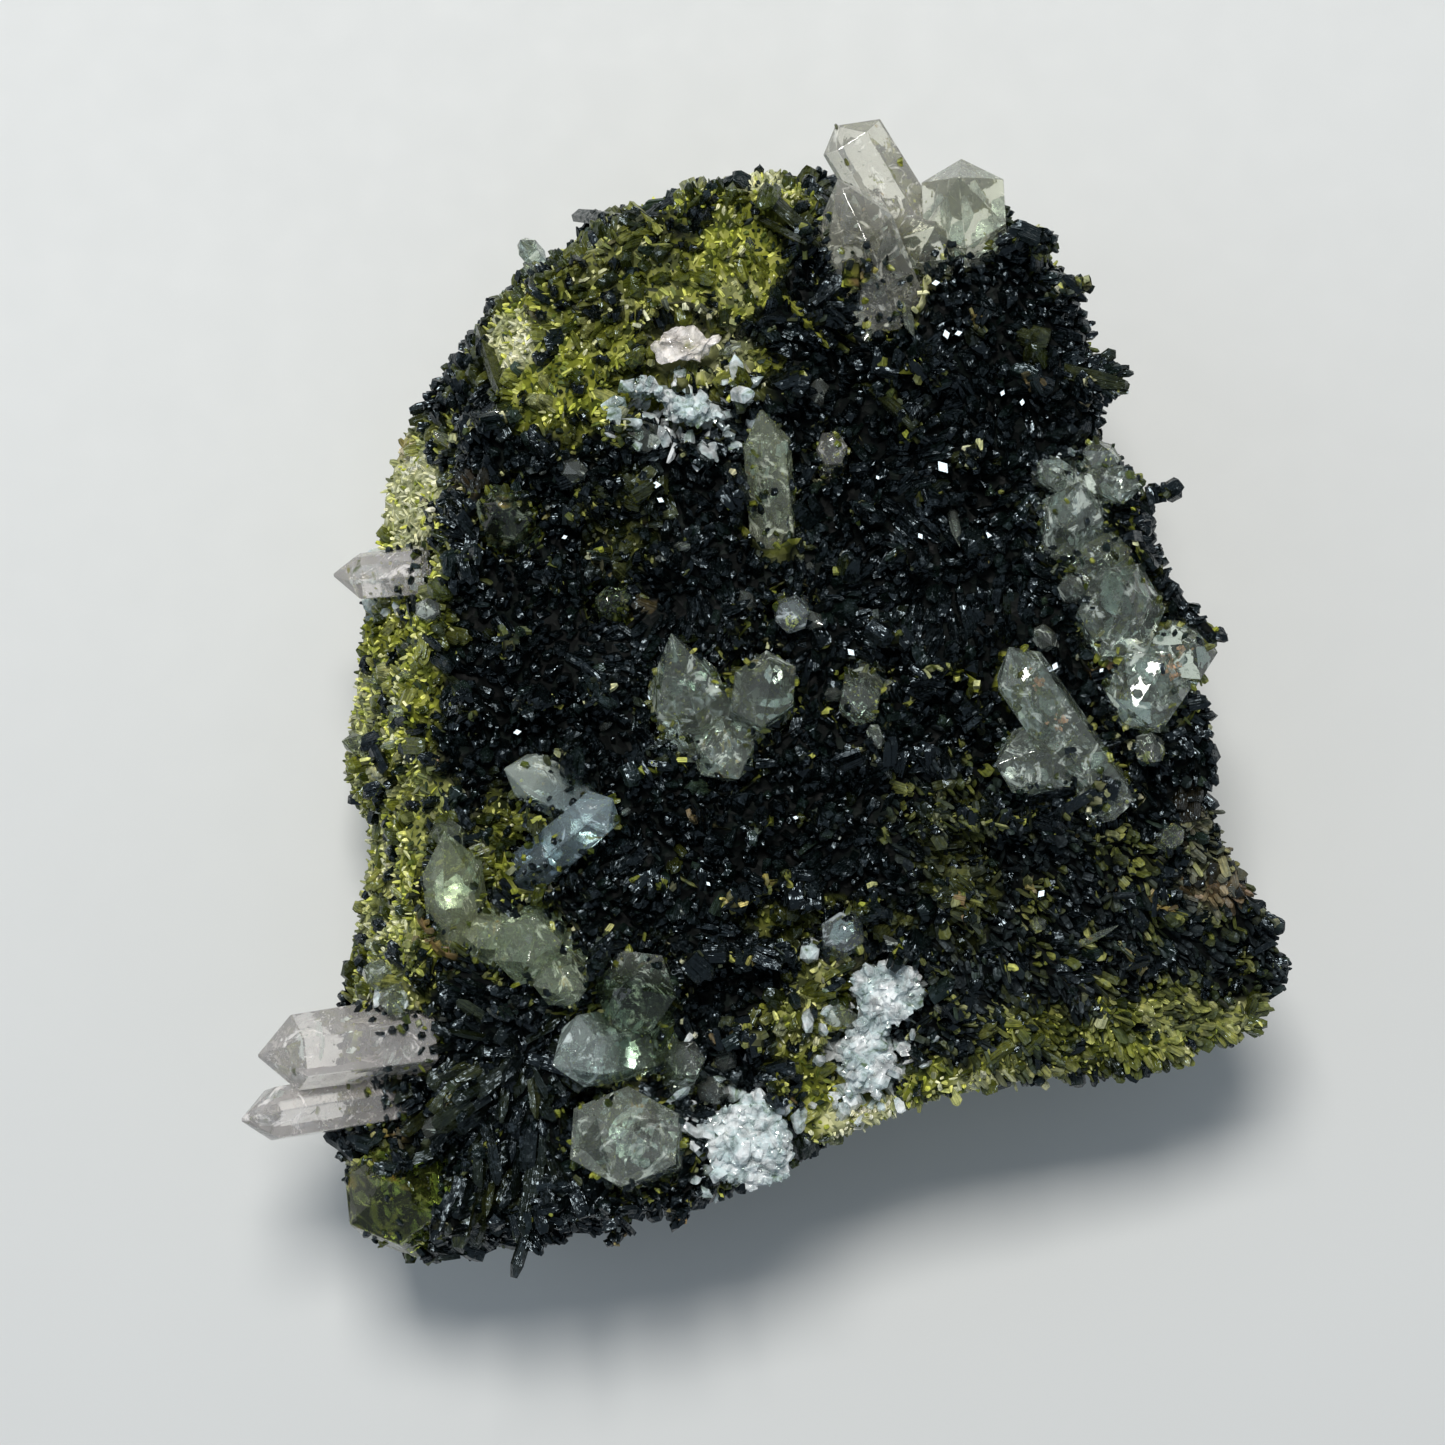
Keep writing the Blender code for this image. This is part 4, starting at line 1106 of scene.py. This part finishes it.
quartzGuests = {
    "grainsPerArea": 0.95 / mm ** 2,
    "climb": 2.0 * mm,
    "halfWidth": (0.12 * mm, 0.34 * mm),
    "reach": (0.20 * mm, 0.60 * mm),
    "sunk": 0.15 * mm,
    "mix": (("chisel", 0, 0.4), ("block", 0.4, 0.7), ("grain", 0.7, 1)),
    "veilsPerCrystal": 3,
    "flecksPerVeil": 40,
    "fleck": (0.05 * mm, 0.12 * mm),
    "cracksPerCrystal": 11,
    "widestCrack": 1.5 * mm,
    "mossPerCrystal": 70,
    "moss": (0.06 * mm, 0.17 * mm),
    # how deep under the faces each of them starts
    "fleckDepth": 0.16 * mm,
    "crackDepth": 0.35 * mm,
    "mossDepth": 0.10 * mm,
    # orange stains just under the faces: x, y, reach, how many grains
    "stains": [(26.9, 1.9, 0.75, 34), (18.0, 1.0, 0.5, 14), (19.4, -1.6, 0.6, 16), (27.6, 3.2, 0.4, 8)],
}


def growOnQuartz():
    batch = newBatch()
    for piece in clearPieces:
        surface = surfaceOf(piece.data)
        count = max(8, int(surface["areas"].sum() * quartzGuests["grainsPerArea"]))
        spots, normals = scatter(surface, count, lambda s, n: 1.0 * (n[:, 2] > -0.4))
        # most sit low on the crystal, near the rock
        always = 0.12 if "green" in piece.name else 0.015
        keep = []
        for i, spot in enumerate(spots):
            far = matrixTree.find_nearest(Vector(spot))[3]
            if dice.random() < smooth(1 - far / quartzGuests["climb"]) ** 1.5 + always:
                keep.append(i)
        if not keep:
            continue
        spots, normals, count = spots[keep], normals[keep], len(keep)
        axes = unit(normals + dice.normal(0, 0.6, normals.shape))
        wide = dice.uniform(*quartzGuests["halfWidth"], count)
        heights = dice.uniform(*quartzGuests["reach"], count) + quartzGuests["sunk"]
        widths = flattened(wide, 0.5)
        pick = dice.beta(1.5, 2.5, count)
        sugar = 0.60 * dice.random(count) * (dice.random(count) < 0.5)
        marks = np.stack([pick, sugar, 0 * wide, 0 * wide], 1)
        roots = spots - axes * quartzGuests["sunk"]
        addMixed(batch, quartzGuests["mix"], dice.random(count), roots, axes, widths, heights, marks)
    grains = batchPiece(batch, "grains_on_quartz")
    grains.data.materials.append(crystalLook)


def insideSpots(piece, count, depth):
    # random places inside a crystal that are at least so deep, and how deep they are
    inner = treeOf([piece])
    low, high = np.array(piece.bound_box).min(axis=0), np.array(piece.bound_box).max(axis=0)
    spots, depths = [], []
    for spot in dice.uniform(low, high, (count * 3, 3)):
        near, normal, index, far = inner.find_nearest(Vector(spot))
        if (Vector(spot) - near).dot(normal) < -depth and len(spots) < count:
            spots.append(spot)
            depths.append(far)
    return np.array(spots).reshape(-1, 3), np.array(depths)


def addVeil(batch, inner, low, high):
    # a curved sheet of flecks, as much of it as lies inside the crystal
    facing = unit(dice.normal(0, 1, 3))
    sideways = unit(np.cross(facing, dice.normal(0, 1, 3)))
    upward = np.cross(facing, sideways)
    spread = dice.normal(0, 1.0 * mm, (quartzGuests["flecksPerVeil"], 2))
    bulge = 0.25 * mm * np.sin(spread[:, :1] / (0.7 * mm))
    spots = dice.uniform(low, high) + sideways * spread[:, :1] + upward * spread[:, 1:] + facing * bulge
    keep = []
    for i, spot in enumerate(spots):
        near, normal = inner.find_nearest(Vector(spot))[:2]
        if (Vector(spot) - near).dot(normal) < -quartzGuests["fleckDepth"]:
            keep.append(i)
    if keep:
        count = len(keep)
        axes = unit(facing[None, :] + dice.normal(0, 0.35, (count, 3)))
        widths = flattened(dice.uniform(*quartzGuests["fleck"], count), 0.3)
        addCrystals(batch, "block", spots[keep], axes, widths, np.full(count, 0.02 * mm), anyTurn(count),
                    np.zeros((count, 4)))


def addCracks(batch, piece, crystals):
    spots, depths = insideSpots(piece, int(quartzGuests["cracksPerCrystal"] * crystals * piece["cracked"]),
                                quartzGuests["crackDepth"])
    count = len(spots)
    if count:
        axes = unit(dice.normal(0, 0.75, spots.shape) + np.array([0, 0.1, 0.9]))
        wide = np.minimum(depths * 0.95, quartzGuests["widestCrack"]) * dice.uniform(0.5, 1.0, count)
        addCrystals(batch, "grain", spots, axes, flattened(wide, 0.25, 0.9), np.full(count, 0.03 * mm),
                    anyTurn(count), np.ones((count, 4)))


def addMoss(batch, piece, crystals):
    count = int(quartzGuests["mossPerCrystal"] * crystals)
    spots = insideSpots(piece, count, quartzGuests["mossDepth"])[0]
    lowDown = []
    for i, spot in enumerate(spots):
        far = matrixTree.find_nearest(Vector(spot))[3]
        if dice.random() < smooth(1.15 - far / (1.3 * mm)):
            lowDown.append(i)
    if lowDown:
        spots, count = spots[lowDown], len(lowDown)
        wide = dice.uniform(*quartzGuests["moss"], count)
        marks = np.stack([dice.beta(2, 2, count), dice.uniform(0.4, 1.0, count), 0 * wide,
                          0.5 * (dice.random(count) < 0.12)], 1)
        addCrystals(batch, "grain", spots, unit(dice.normal(0, 1, spots.shape)), np.stack([wide, wide * 0.6], 1),
                    wide * 1.5, anyTurn(count), marks)


def growInsideQuartz():
    veils, moss = newBatch(), newBatch()
    for piece in clearPieces:
        low, high = np.array(piece.bound_box).min(axis=0), np.array(piece.bound_box).max(axis=0)
        # a larger group counts as more crystals
        crystals = max(1.0, (np.prod(high - low) / (40 * mm ** 3)) ** 0.5)
        inner = treeOf([piece])
        for veil in range(int(quartzGuests["veilsPerCrystal"] * crystals)):
            addVeil(veils, inner, low, high)
        addCracks(veils, piece, crystals)
        addMoss(moss, piece, crystals)
    batchPiece(veils, "quartz_veils").data.materials.append(fleckLook)
    batchPiece(moss, "quartz_moss").data.materials.append(granularLook)


def growStains():
    batch = newBatch()
    for x, y, reach, count in quartzGuests["stains"]:
        middleX, middleY = onPlan(x, y)
        spots = []
        for shiftX, shiftY in dice.normal(0, 0.5 * reach * mm, (count, 2)):
            above = Vector((middleX + shiftX, middleY + shiftY, matrixTop + 9 * mm))
            hit = quartzTree.ray_cast(above, Vector((0, 0, -1)))
            if hit[0] is not None:
                spots.append((hit[0].x, hit[0].y, hit[0].z - dice.uniform(0.12, 0.45) * mm))
        if not spots:
            continue
        spots, count = np.array(spots), len(spots)
        wide = dice.uniform(0.08 * mm, 0.26 * mm, count)
        marks = np.zeros((count, 4))
        marks[:, 0], marks[:, 3] = dice.uniform(0.7, 1.0, count), 1.0
        axes = unit(dice.normal(0, 0.4, spots.shape) + np.array([0, 0, 1.0]))
        addCrystals(batch, "grain", spots, axes, np.stack([wide, wide * 0.7], 1), np.full(count, 0.06 * mm),
                    anyTurn(count), marks)
    batchPiece(batch, "quartz_stains").data.materials.append(granularLook)


def fleckMaterial():
    material, tree, shader, out = newMaterial("quartzFlecks")
    place = objectPlace(tree)
    tone = ramp(tree, noiseField(tree, place, 300, 3.0),
                [(0.35, (0.66, 0.78, 0.70)), (0.6, (0.86, 0.93, 0.90)), (0.75, (0.86, 0.76, 0.58))])
    feed(tree, tone, shader, "Base Color")
    feed(tree, span(tree, noiseField(tree, place, 2400, 2.0), 0.3, 0.7, 0.15, 0.4), shader, "Roughness")
    feed(tree, sums(tree, "MULTIPLY", attributeValue(tree, "pick"), 0.85), shader, "Metallic")
    shader.inputs["Transmission Weight"].default_value = 0.35
    shader.inputs["IOR"].default_value = 1.33
    return material


fleckLook = fleckMaterial()
growOnQuartz()
growInsideQuartz()
growStains()


# milky quartz: a lumpy body with grains grown on it

milkyField = {
    "grid": 0.34 * mm,
    "inward": 0.55,
    "lumps": 0.42,
    "sunk": {"quartz_white_knob": 0.35, "quartz_glassy_patch": 0.20},
    "tries": 1400,
    "spacing": (0.34 * mm, 1.10 * mm),
    "halfWidth": (0.16 * mm, 0.72 * mm),
    "reach": (0.35 * mm, 1.15 * mm),
    "mix": (("quartz", 0, 0.3), ("chisel", 0.3, 0.6), ("slant", 0.6, 1)),
    "shiny": 110,
    "shinyHalf": (0.07 * mm, 0.22 * mm),
}


def milkyMaterial(name, low, body, high):
    material, tree, shader, out = newMaterial(name)
    place = objectPlace(tree)
    cloud = noiseField(tree, place, 520, 6.0, 0.65, 0.8)
    feed(tree, ramp(tree, cloud, [(0.34, low), (0.44, body), (0.58, high)]), shader, "Base Color")
    feed(tree, span(tree, noiseField(tree, place, 1900, 4.0), 0.4, 0.7, 0.02, 0.18), shader, "Roughness")
    shader.inputs["IOR"].default_value = 1.544
    milk = noiseField(tree, place, 700, 5.0, 0.6, 0.8)
    feed(tree, span(tree, milk, 0.38, 0.60, 0.74, 0.12), shader, "Transmission Weight")
    first = bump(tree, shader, facetField(tree, place, 1500), 0.30, 1.0)
    bump(tree, shader, facetField(tree, place, 5200), 0.40, 1.0, first)
    return material


milkyLook = milkyMaterial("quartzMilky", (0.16, 0.24, 0.12), (0.72, 0.86, 0.87), (0.96, 1.0, 1.0))
creamyLook = milkyMaterial("quartzCream", (0.40, 0.40, 0.16), (0.88, 0.83, 0.74), (1.0, 0.95, 0.91))


def growMilky(node):
    piece = copyNode(node, node.replace("quartz_", "milky_"))
    addModifier(piece, "REMESH", mode="VOXEL", voxel_size=milkyField["grid"])
    spots, normals = vertexRows(piece.data), vertexRows(piece.data, "normal")
    lumps = noiseAt(spots, 1.5 * mm, 71.0) * 1.8 + 0.8 * noiseAt(spots, 0.6 * mm, 73.0)
    inward = milkyField["inward"] + milkyField["lumps"] * lumps + milkyField["sunk"].get(node, 0)
    piece.data.vertices.foreach_set("co", (spots - normals * (inward * mm)[:, None]).ravel())
    piece.data.update()
    piece.data.shade_flat()
    piece.data.materials.append(creamyLook if node == "quartz_white_knob" else milkyLook)
    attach(piece, "root")
    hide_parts(node)
    return piece


def growMilkyGrains(pieces):
    batch, bright = newBatch(), newBatch()
    for piece in pieces:
        spots, normals = scatter(surfaceOf(piece.data), milkyField["tries"], lambda s, n: 1.0 * (n[:, 2] > 0.1))
        size = np.clip(dice.lognormal(-1.0, 0.6, len(spots)), 0.03, 1)
        keep = thinOut(spots, between(milkyField["spacing"], size))
        spots, normals, size = spots[keep], normals[keep], size[keep]
        count = len(spots)
        axes = unit(normals + dice.normal(0, 0.8, normals.shape))
        widths = flattened(between(milkyField["halfWidth"], size), 0.6)
        heights = between(milkyField["reach"], size * dice.uniform(0.7, 1.1, count))
        addMixed(batch, milkyField["mix"], dice.random(count), spots - axes * 0.3 * mm, axes, widths, heights,
                 np.zeros((count, 4)))
        # small bright faces on it
        shiny = dice.permutation(count)[:milkyField["shiny"]]
        count = len(shiny)
        size = dice.uniform(*milkyField["shinyHalf"], count)
        facing = unit(dice.normal(0, 0.5, (count, 3)) + np.array([0, 0.25, 1.0]))
        addCrystals(bright, "block", (spots + axes * 0.25 * mm)[shiny], facing, np.stack([size, size * 0.7], 1),
                    np.full(count, 0.05 * mm), anyTurn(count), np.ones((count, 4)))
    batchPiece(batch, "milky_grains").data.materials.append(milkyLook)
    batchPiece(bright, "milky_glints").data.materials.append(fleckLook)


milkyPieces = [growMilky(node) for node in milkyNodes]
growMilkyGrains([piece for piece in milkyPieces if "knob" not in piece.name])
print("milky quartz", len(milkyPieces))


# small quartz crystals among the epidote: x, y, half width, height, lean in x and y

smallQuartz = {
    "placed": [
        (5.0, -15.6, 1.0, 1.4, 0.2, 0.3), (4.2, -17.0, 0.8, 1.2, -0.3, 0.1),
        (4.6, 15.6, 0.9, 1.0, 0.4, 0.6), (-10.2, 6.6, 1.0, 1.0, 0.1, 0.2),
        (12.6, 12.4, 0.35, 3.2, 0.1, -0.9), (-1.0, 6.4, 0.7, 0.8, -0.4, 0.5),
        (1.9, 5.8, 1.2, 0.9, 0.2, -0.7), (3.2, 5.2, 0.8, 0.7, 0.8, -0.4),
        (-27.6, -3.2, 0.8, 1.8, -0.7, 0.2), (-15.8, 30.6, 0.9, 1.0, -0.5, 0.5),
        (-8.0, 17.2, 1.3, 0.9, 0.3, 0.2), (-10.2, 26.4, 0.45, 0.6, 0.0, 0.1),
        (-22.2, 5.8, 0.9, 0.8, -0.1, 0.2), (-12.6, 15.0, 0.9, 0.9, 0.4, -0.2),
        (-16.6, 12.2, 1.0, 0.9, -0.4, 0.1), (9.4, 25.6, 0.45, 2.2, 0.2, -0.9),
        (3.6, 20.2, 0.8, 0.9, 0.1, 0.8), (-5.6, 18.2, 0.9, 0.9, -0.2, -0.3),
        (27.4, -9.6, 0.8, 1.2, 0.1, 0.5), (31.6, -12.8, 0.5, 0.9, 0.2, -0.5),
        (21.4, -16.6, 0.3, 3.4, 0.8, 0.5), (18.4, -15.4, 0.6, 0.8, 0.4, 0.6),
        (-19.4, -14.2, 1.2, 1.0, 0.5, 0.6), (-21.0, -9.2, 1.2, 1.3, -0.3, 0.4),
        (-14.8, -11.2, 0.9, 1.0, 0.3, 0.4), (-12.6, -9.8, 0.9, 1.1, -0.4, -0.3),
        (-11.0, -22.4, 0.9, 1.0, 0.6, -0.6), (18.6, 14.6, 0.7, 0.9, -0.5, 0.2),
        (22.4, 12.0, 1.0, 1.1, 0.5, 0.3), (20.6, 7.4, 1.1, 1.0, -0.2, -0.3),
        (18.8, 4.0, 0.9, 1.1, -0.5, 0.1), (26.4, 6.2, 1.0, 1.1, 0.6, 0.2),
        (25.6, -3.4, 1.0, 0.9, 0.1, -0.7), (8.4, 0.6, 0.7, 0.9, 0.6, 0.2), (4.8, 0.2, 0.6, 0.8, -0.6, 0.1),
        (7.4, -2.6, 0.6, 0.8, 0.2, -0.6), (-24.6, -20.4, 1.2, 1.4, -0.2, 0.5),
        (-25.6, -18.6, 1.0, 1.2, -0.5, 0.5), (-22.4, -29.0, 1.0, 1.0, 0.4, -0.2),
        (-2.6, -24.4, 0.9, 1.2, 0.3, 0.5), (-3.4, -26.2, 1.1, 1.2, -0.3, 0.1),
        (5.2, -21.4, 1.0, 1.2, -0.5, 0.3),
    ],
    "strewn": 60,
    "strewnHalf": (0.18 * mm, 0.42 * mm),
    "ice": 520,
    "iceSpacing": (0.45 * mm, 1.35 * mm),
    "iceHalf": (0.22 * mm, 0.85 * mm),
    "iceMix": (("chisel", 0, 0.2), ("slant", 0.2, 0.6), ("quartz", 0.6, 1)),
}


def growSmallQuartz():
    batch = newBatch()
    for x, y, half, tall, leanX, leanY in smallQuartz["placed"]:
        x, y = onPlan(x, y)
        axis = unit(np.array([[leanX, leanY, 1.0]]))
        root = np.array([[x, y, topOf(x, y) - 0.9 * mm]]) - axis * 0.8 * mm
        habit = "quartz" if dice.random() < 0.5 else "quartzBlunt"
        addCrystals(batch, habit, root, axis, np.array([[half * mm, half * 0.85 * mm]]),
                    np.array([tall * mm + 1.3 * mm]), anyTurn(1), np.zeros((1, 4)))
    spots, normals = scatter(rockSurface, smallQuartz["strewn"], onFace)
    count = len(spots)
    axes = unit(normals + dice.normal(0, 0.5, normals.shape))
    wide = dice.uniform(*smallQuartz["strewnHalf"], count)
    addCrystals(batch, "quartzBlunt", spots - axes * 0.4 * mm, axes, np.stack([wide, wide * 0.8], 1),
                wide * 3.2 + 0.4 * mm, anyTurn(count), np.zeros((count, 4)))
    piece = batchPiece(batch, "small_quartz")
    piece.data.materials.append(quartzMaterials["clear"])
    paintTones(piece)


def growIce():
    # broken and grown together quartz that runs out from the crusts between the epidote
    batch = newBatch()
    spots, normals = scatter(rockSurface, smallQuartz["ice"] * 2,
                             lambda s, n: onFace(s, n) * (n[:, 2] > 0.4) * zoneShare("ice", s, 0.5) ** 2)
    size = np.clip(dice.lognormal(-1.2, 0.6, len(spots)), 0.02, 1)
    keep = thinOut(spots, between(smallQuartz["iceSpacing"], size))[:smallQuartz["ice"]]
    spots, normals, size = spots[keep], normals[keep], size[keep]
    count = len(spots)
    axes = unit(normals + dice.normal(0, 0.5, normals.shape))
    wide = between(smallQuartz["iceHalf"], size)
    widths = flattened(wide, 0.4)
    roots = spots - axes * 0.3 * mm
    heights = keepUnderSkin(roots, axes, 0.8 * mm + wide * dice.uniform(1.2, 2.4, count), 0.3 * mm, 0.3 * mm)
    addMixed(batch, smallQuartz["iceMix"], dice.random(count), roots, axes, widths, heights, np.zeros((count, 4)))
    batchPiece(batch, "quartz_ice").data.materials.append(milkyLook)


growSmallQuartz()
growIce()


# studio: pale floor, soft light from beyond the top edge, camera straight above

def addLight(name):
    spot = Vector(studio[name + "Spot"])
    bpy.ops.object.light_add(type="AREA", location=spot)
    light = bpy.context.object
    light.name = name
    light.data.shape = "RECTANGLE"
    light.data.size, light.data.size_y = studio[name + "Size"]
    light.data.energy = studio[name + "Power"]
    light.data.color = studio[name + "Colour"]
    light.rotation_euler = (Vector(studio["aim"]) - spot).to_track_quat("-Z", "Y").to_euler()


def buildStudio():
    bpy.ops.mesh.primitive_plane_add(size=6, location=(0, 0, 0))
    floor = bpy.context.object
    floor.name = "floor"
    material, tree, shader, out = newMaterial("paleFloor")
    shade = tuple(c * 0.97 for c in studio["floor"])
    tone = ramp(tree, noiseField(tree, objectPlace(tree), 14, 3.0), [(0.3, shade), (0.7, studio["floor"])])
    feed(tree, tone, shader, "Base Color")
    feed(tree, span(tree, noiseField(tree, objectPlace(tree), 300, 3.0), 0.3, 0.7, 0.6, 0.75), shader, "Roughness")
    floor.data.materials.append(material)

    world = bpy.data.worlds.new("studioSky")
    world.use_nodes = True
    bpy.context.scene.world = world
    sky = world.node_tree.nodes["Background"]
    sky.inputs["Color"].default_value = (*studio["sky"], 1)
    sky.inputs["Strength"].default_value = studio["skyStrength"]

    addLight("key")
    addLight("fill")

    bpy.ops.object.camera_add(location=studio["cameraSpot"], rotation=(0, 0, 0))
    camera = bpy.context.object
    camera.data.sensor_fit = "HORIZONTAL"
    camera.data.sensor_width = 36
    camera.data.lens = studio["lens"]
    camera.data.clip_start = 0.01
    bpy.context.scene.camera = camera
    bpy.context.scene.view_settings.view_transform = "Standard"


buildStudio()
print("studio ready")
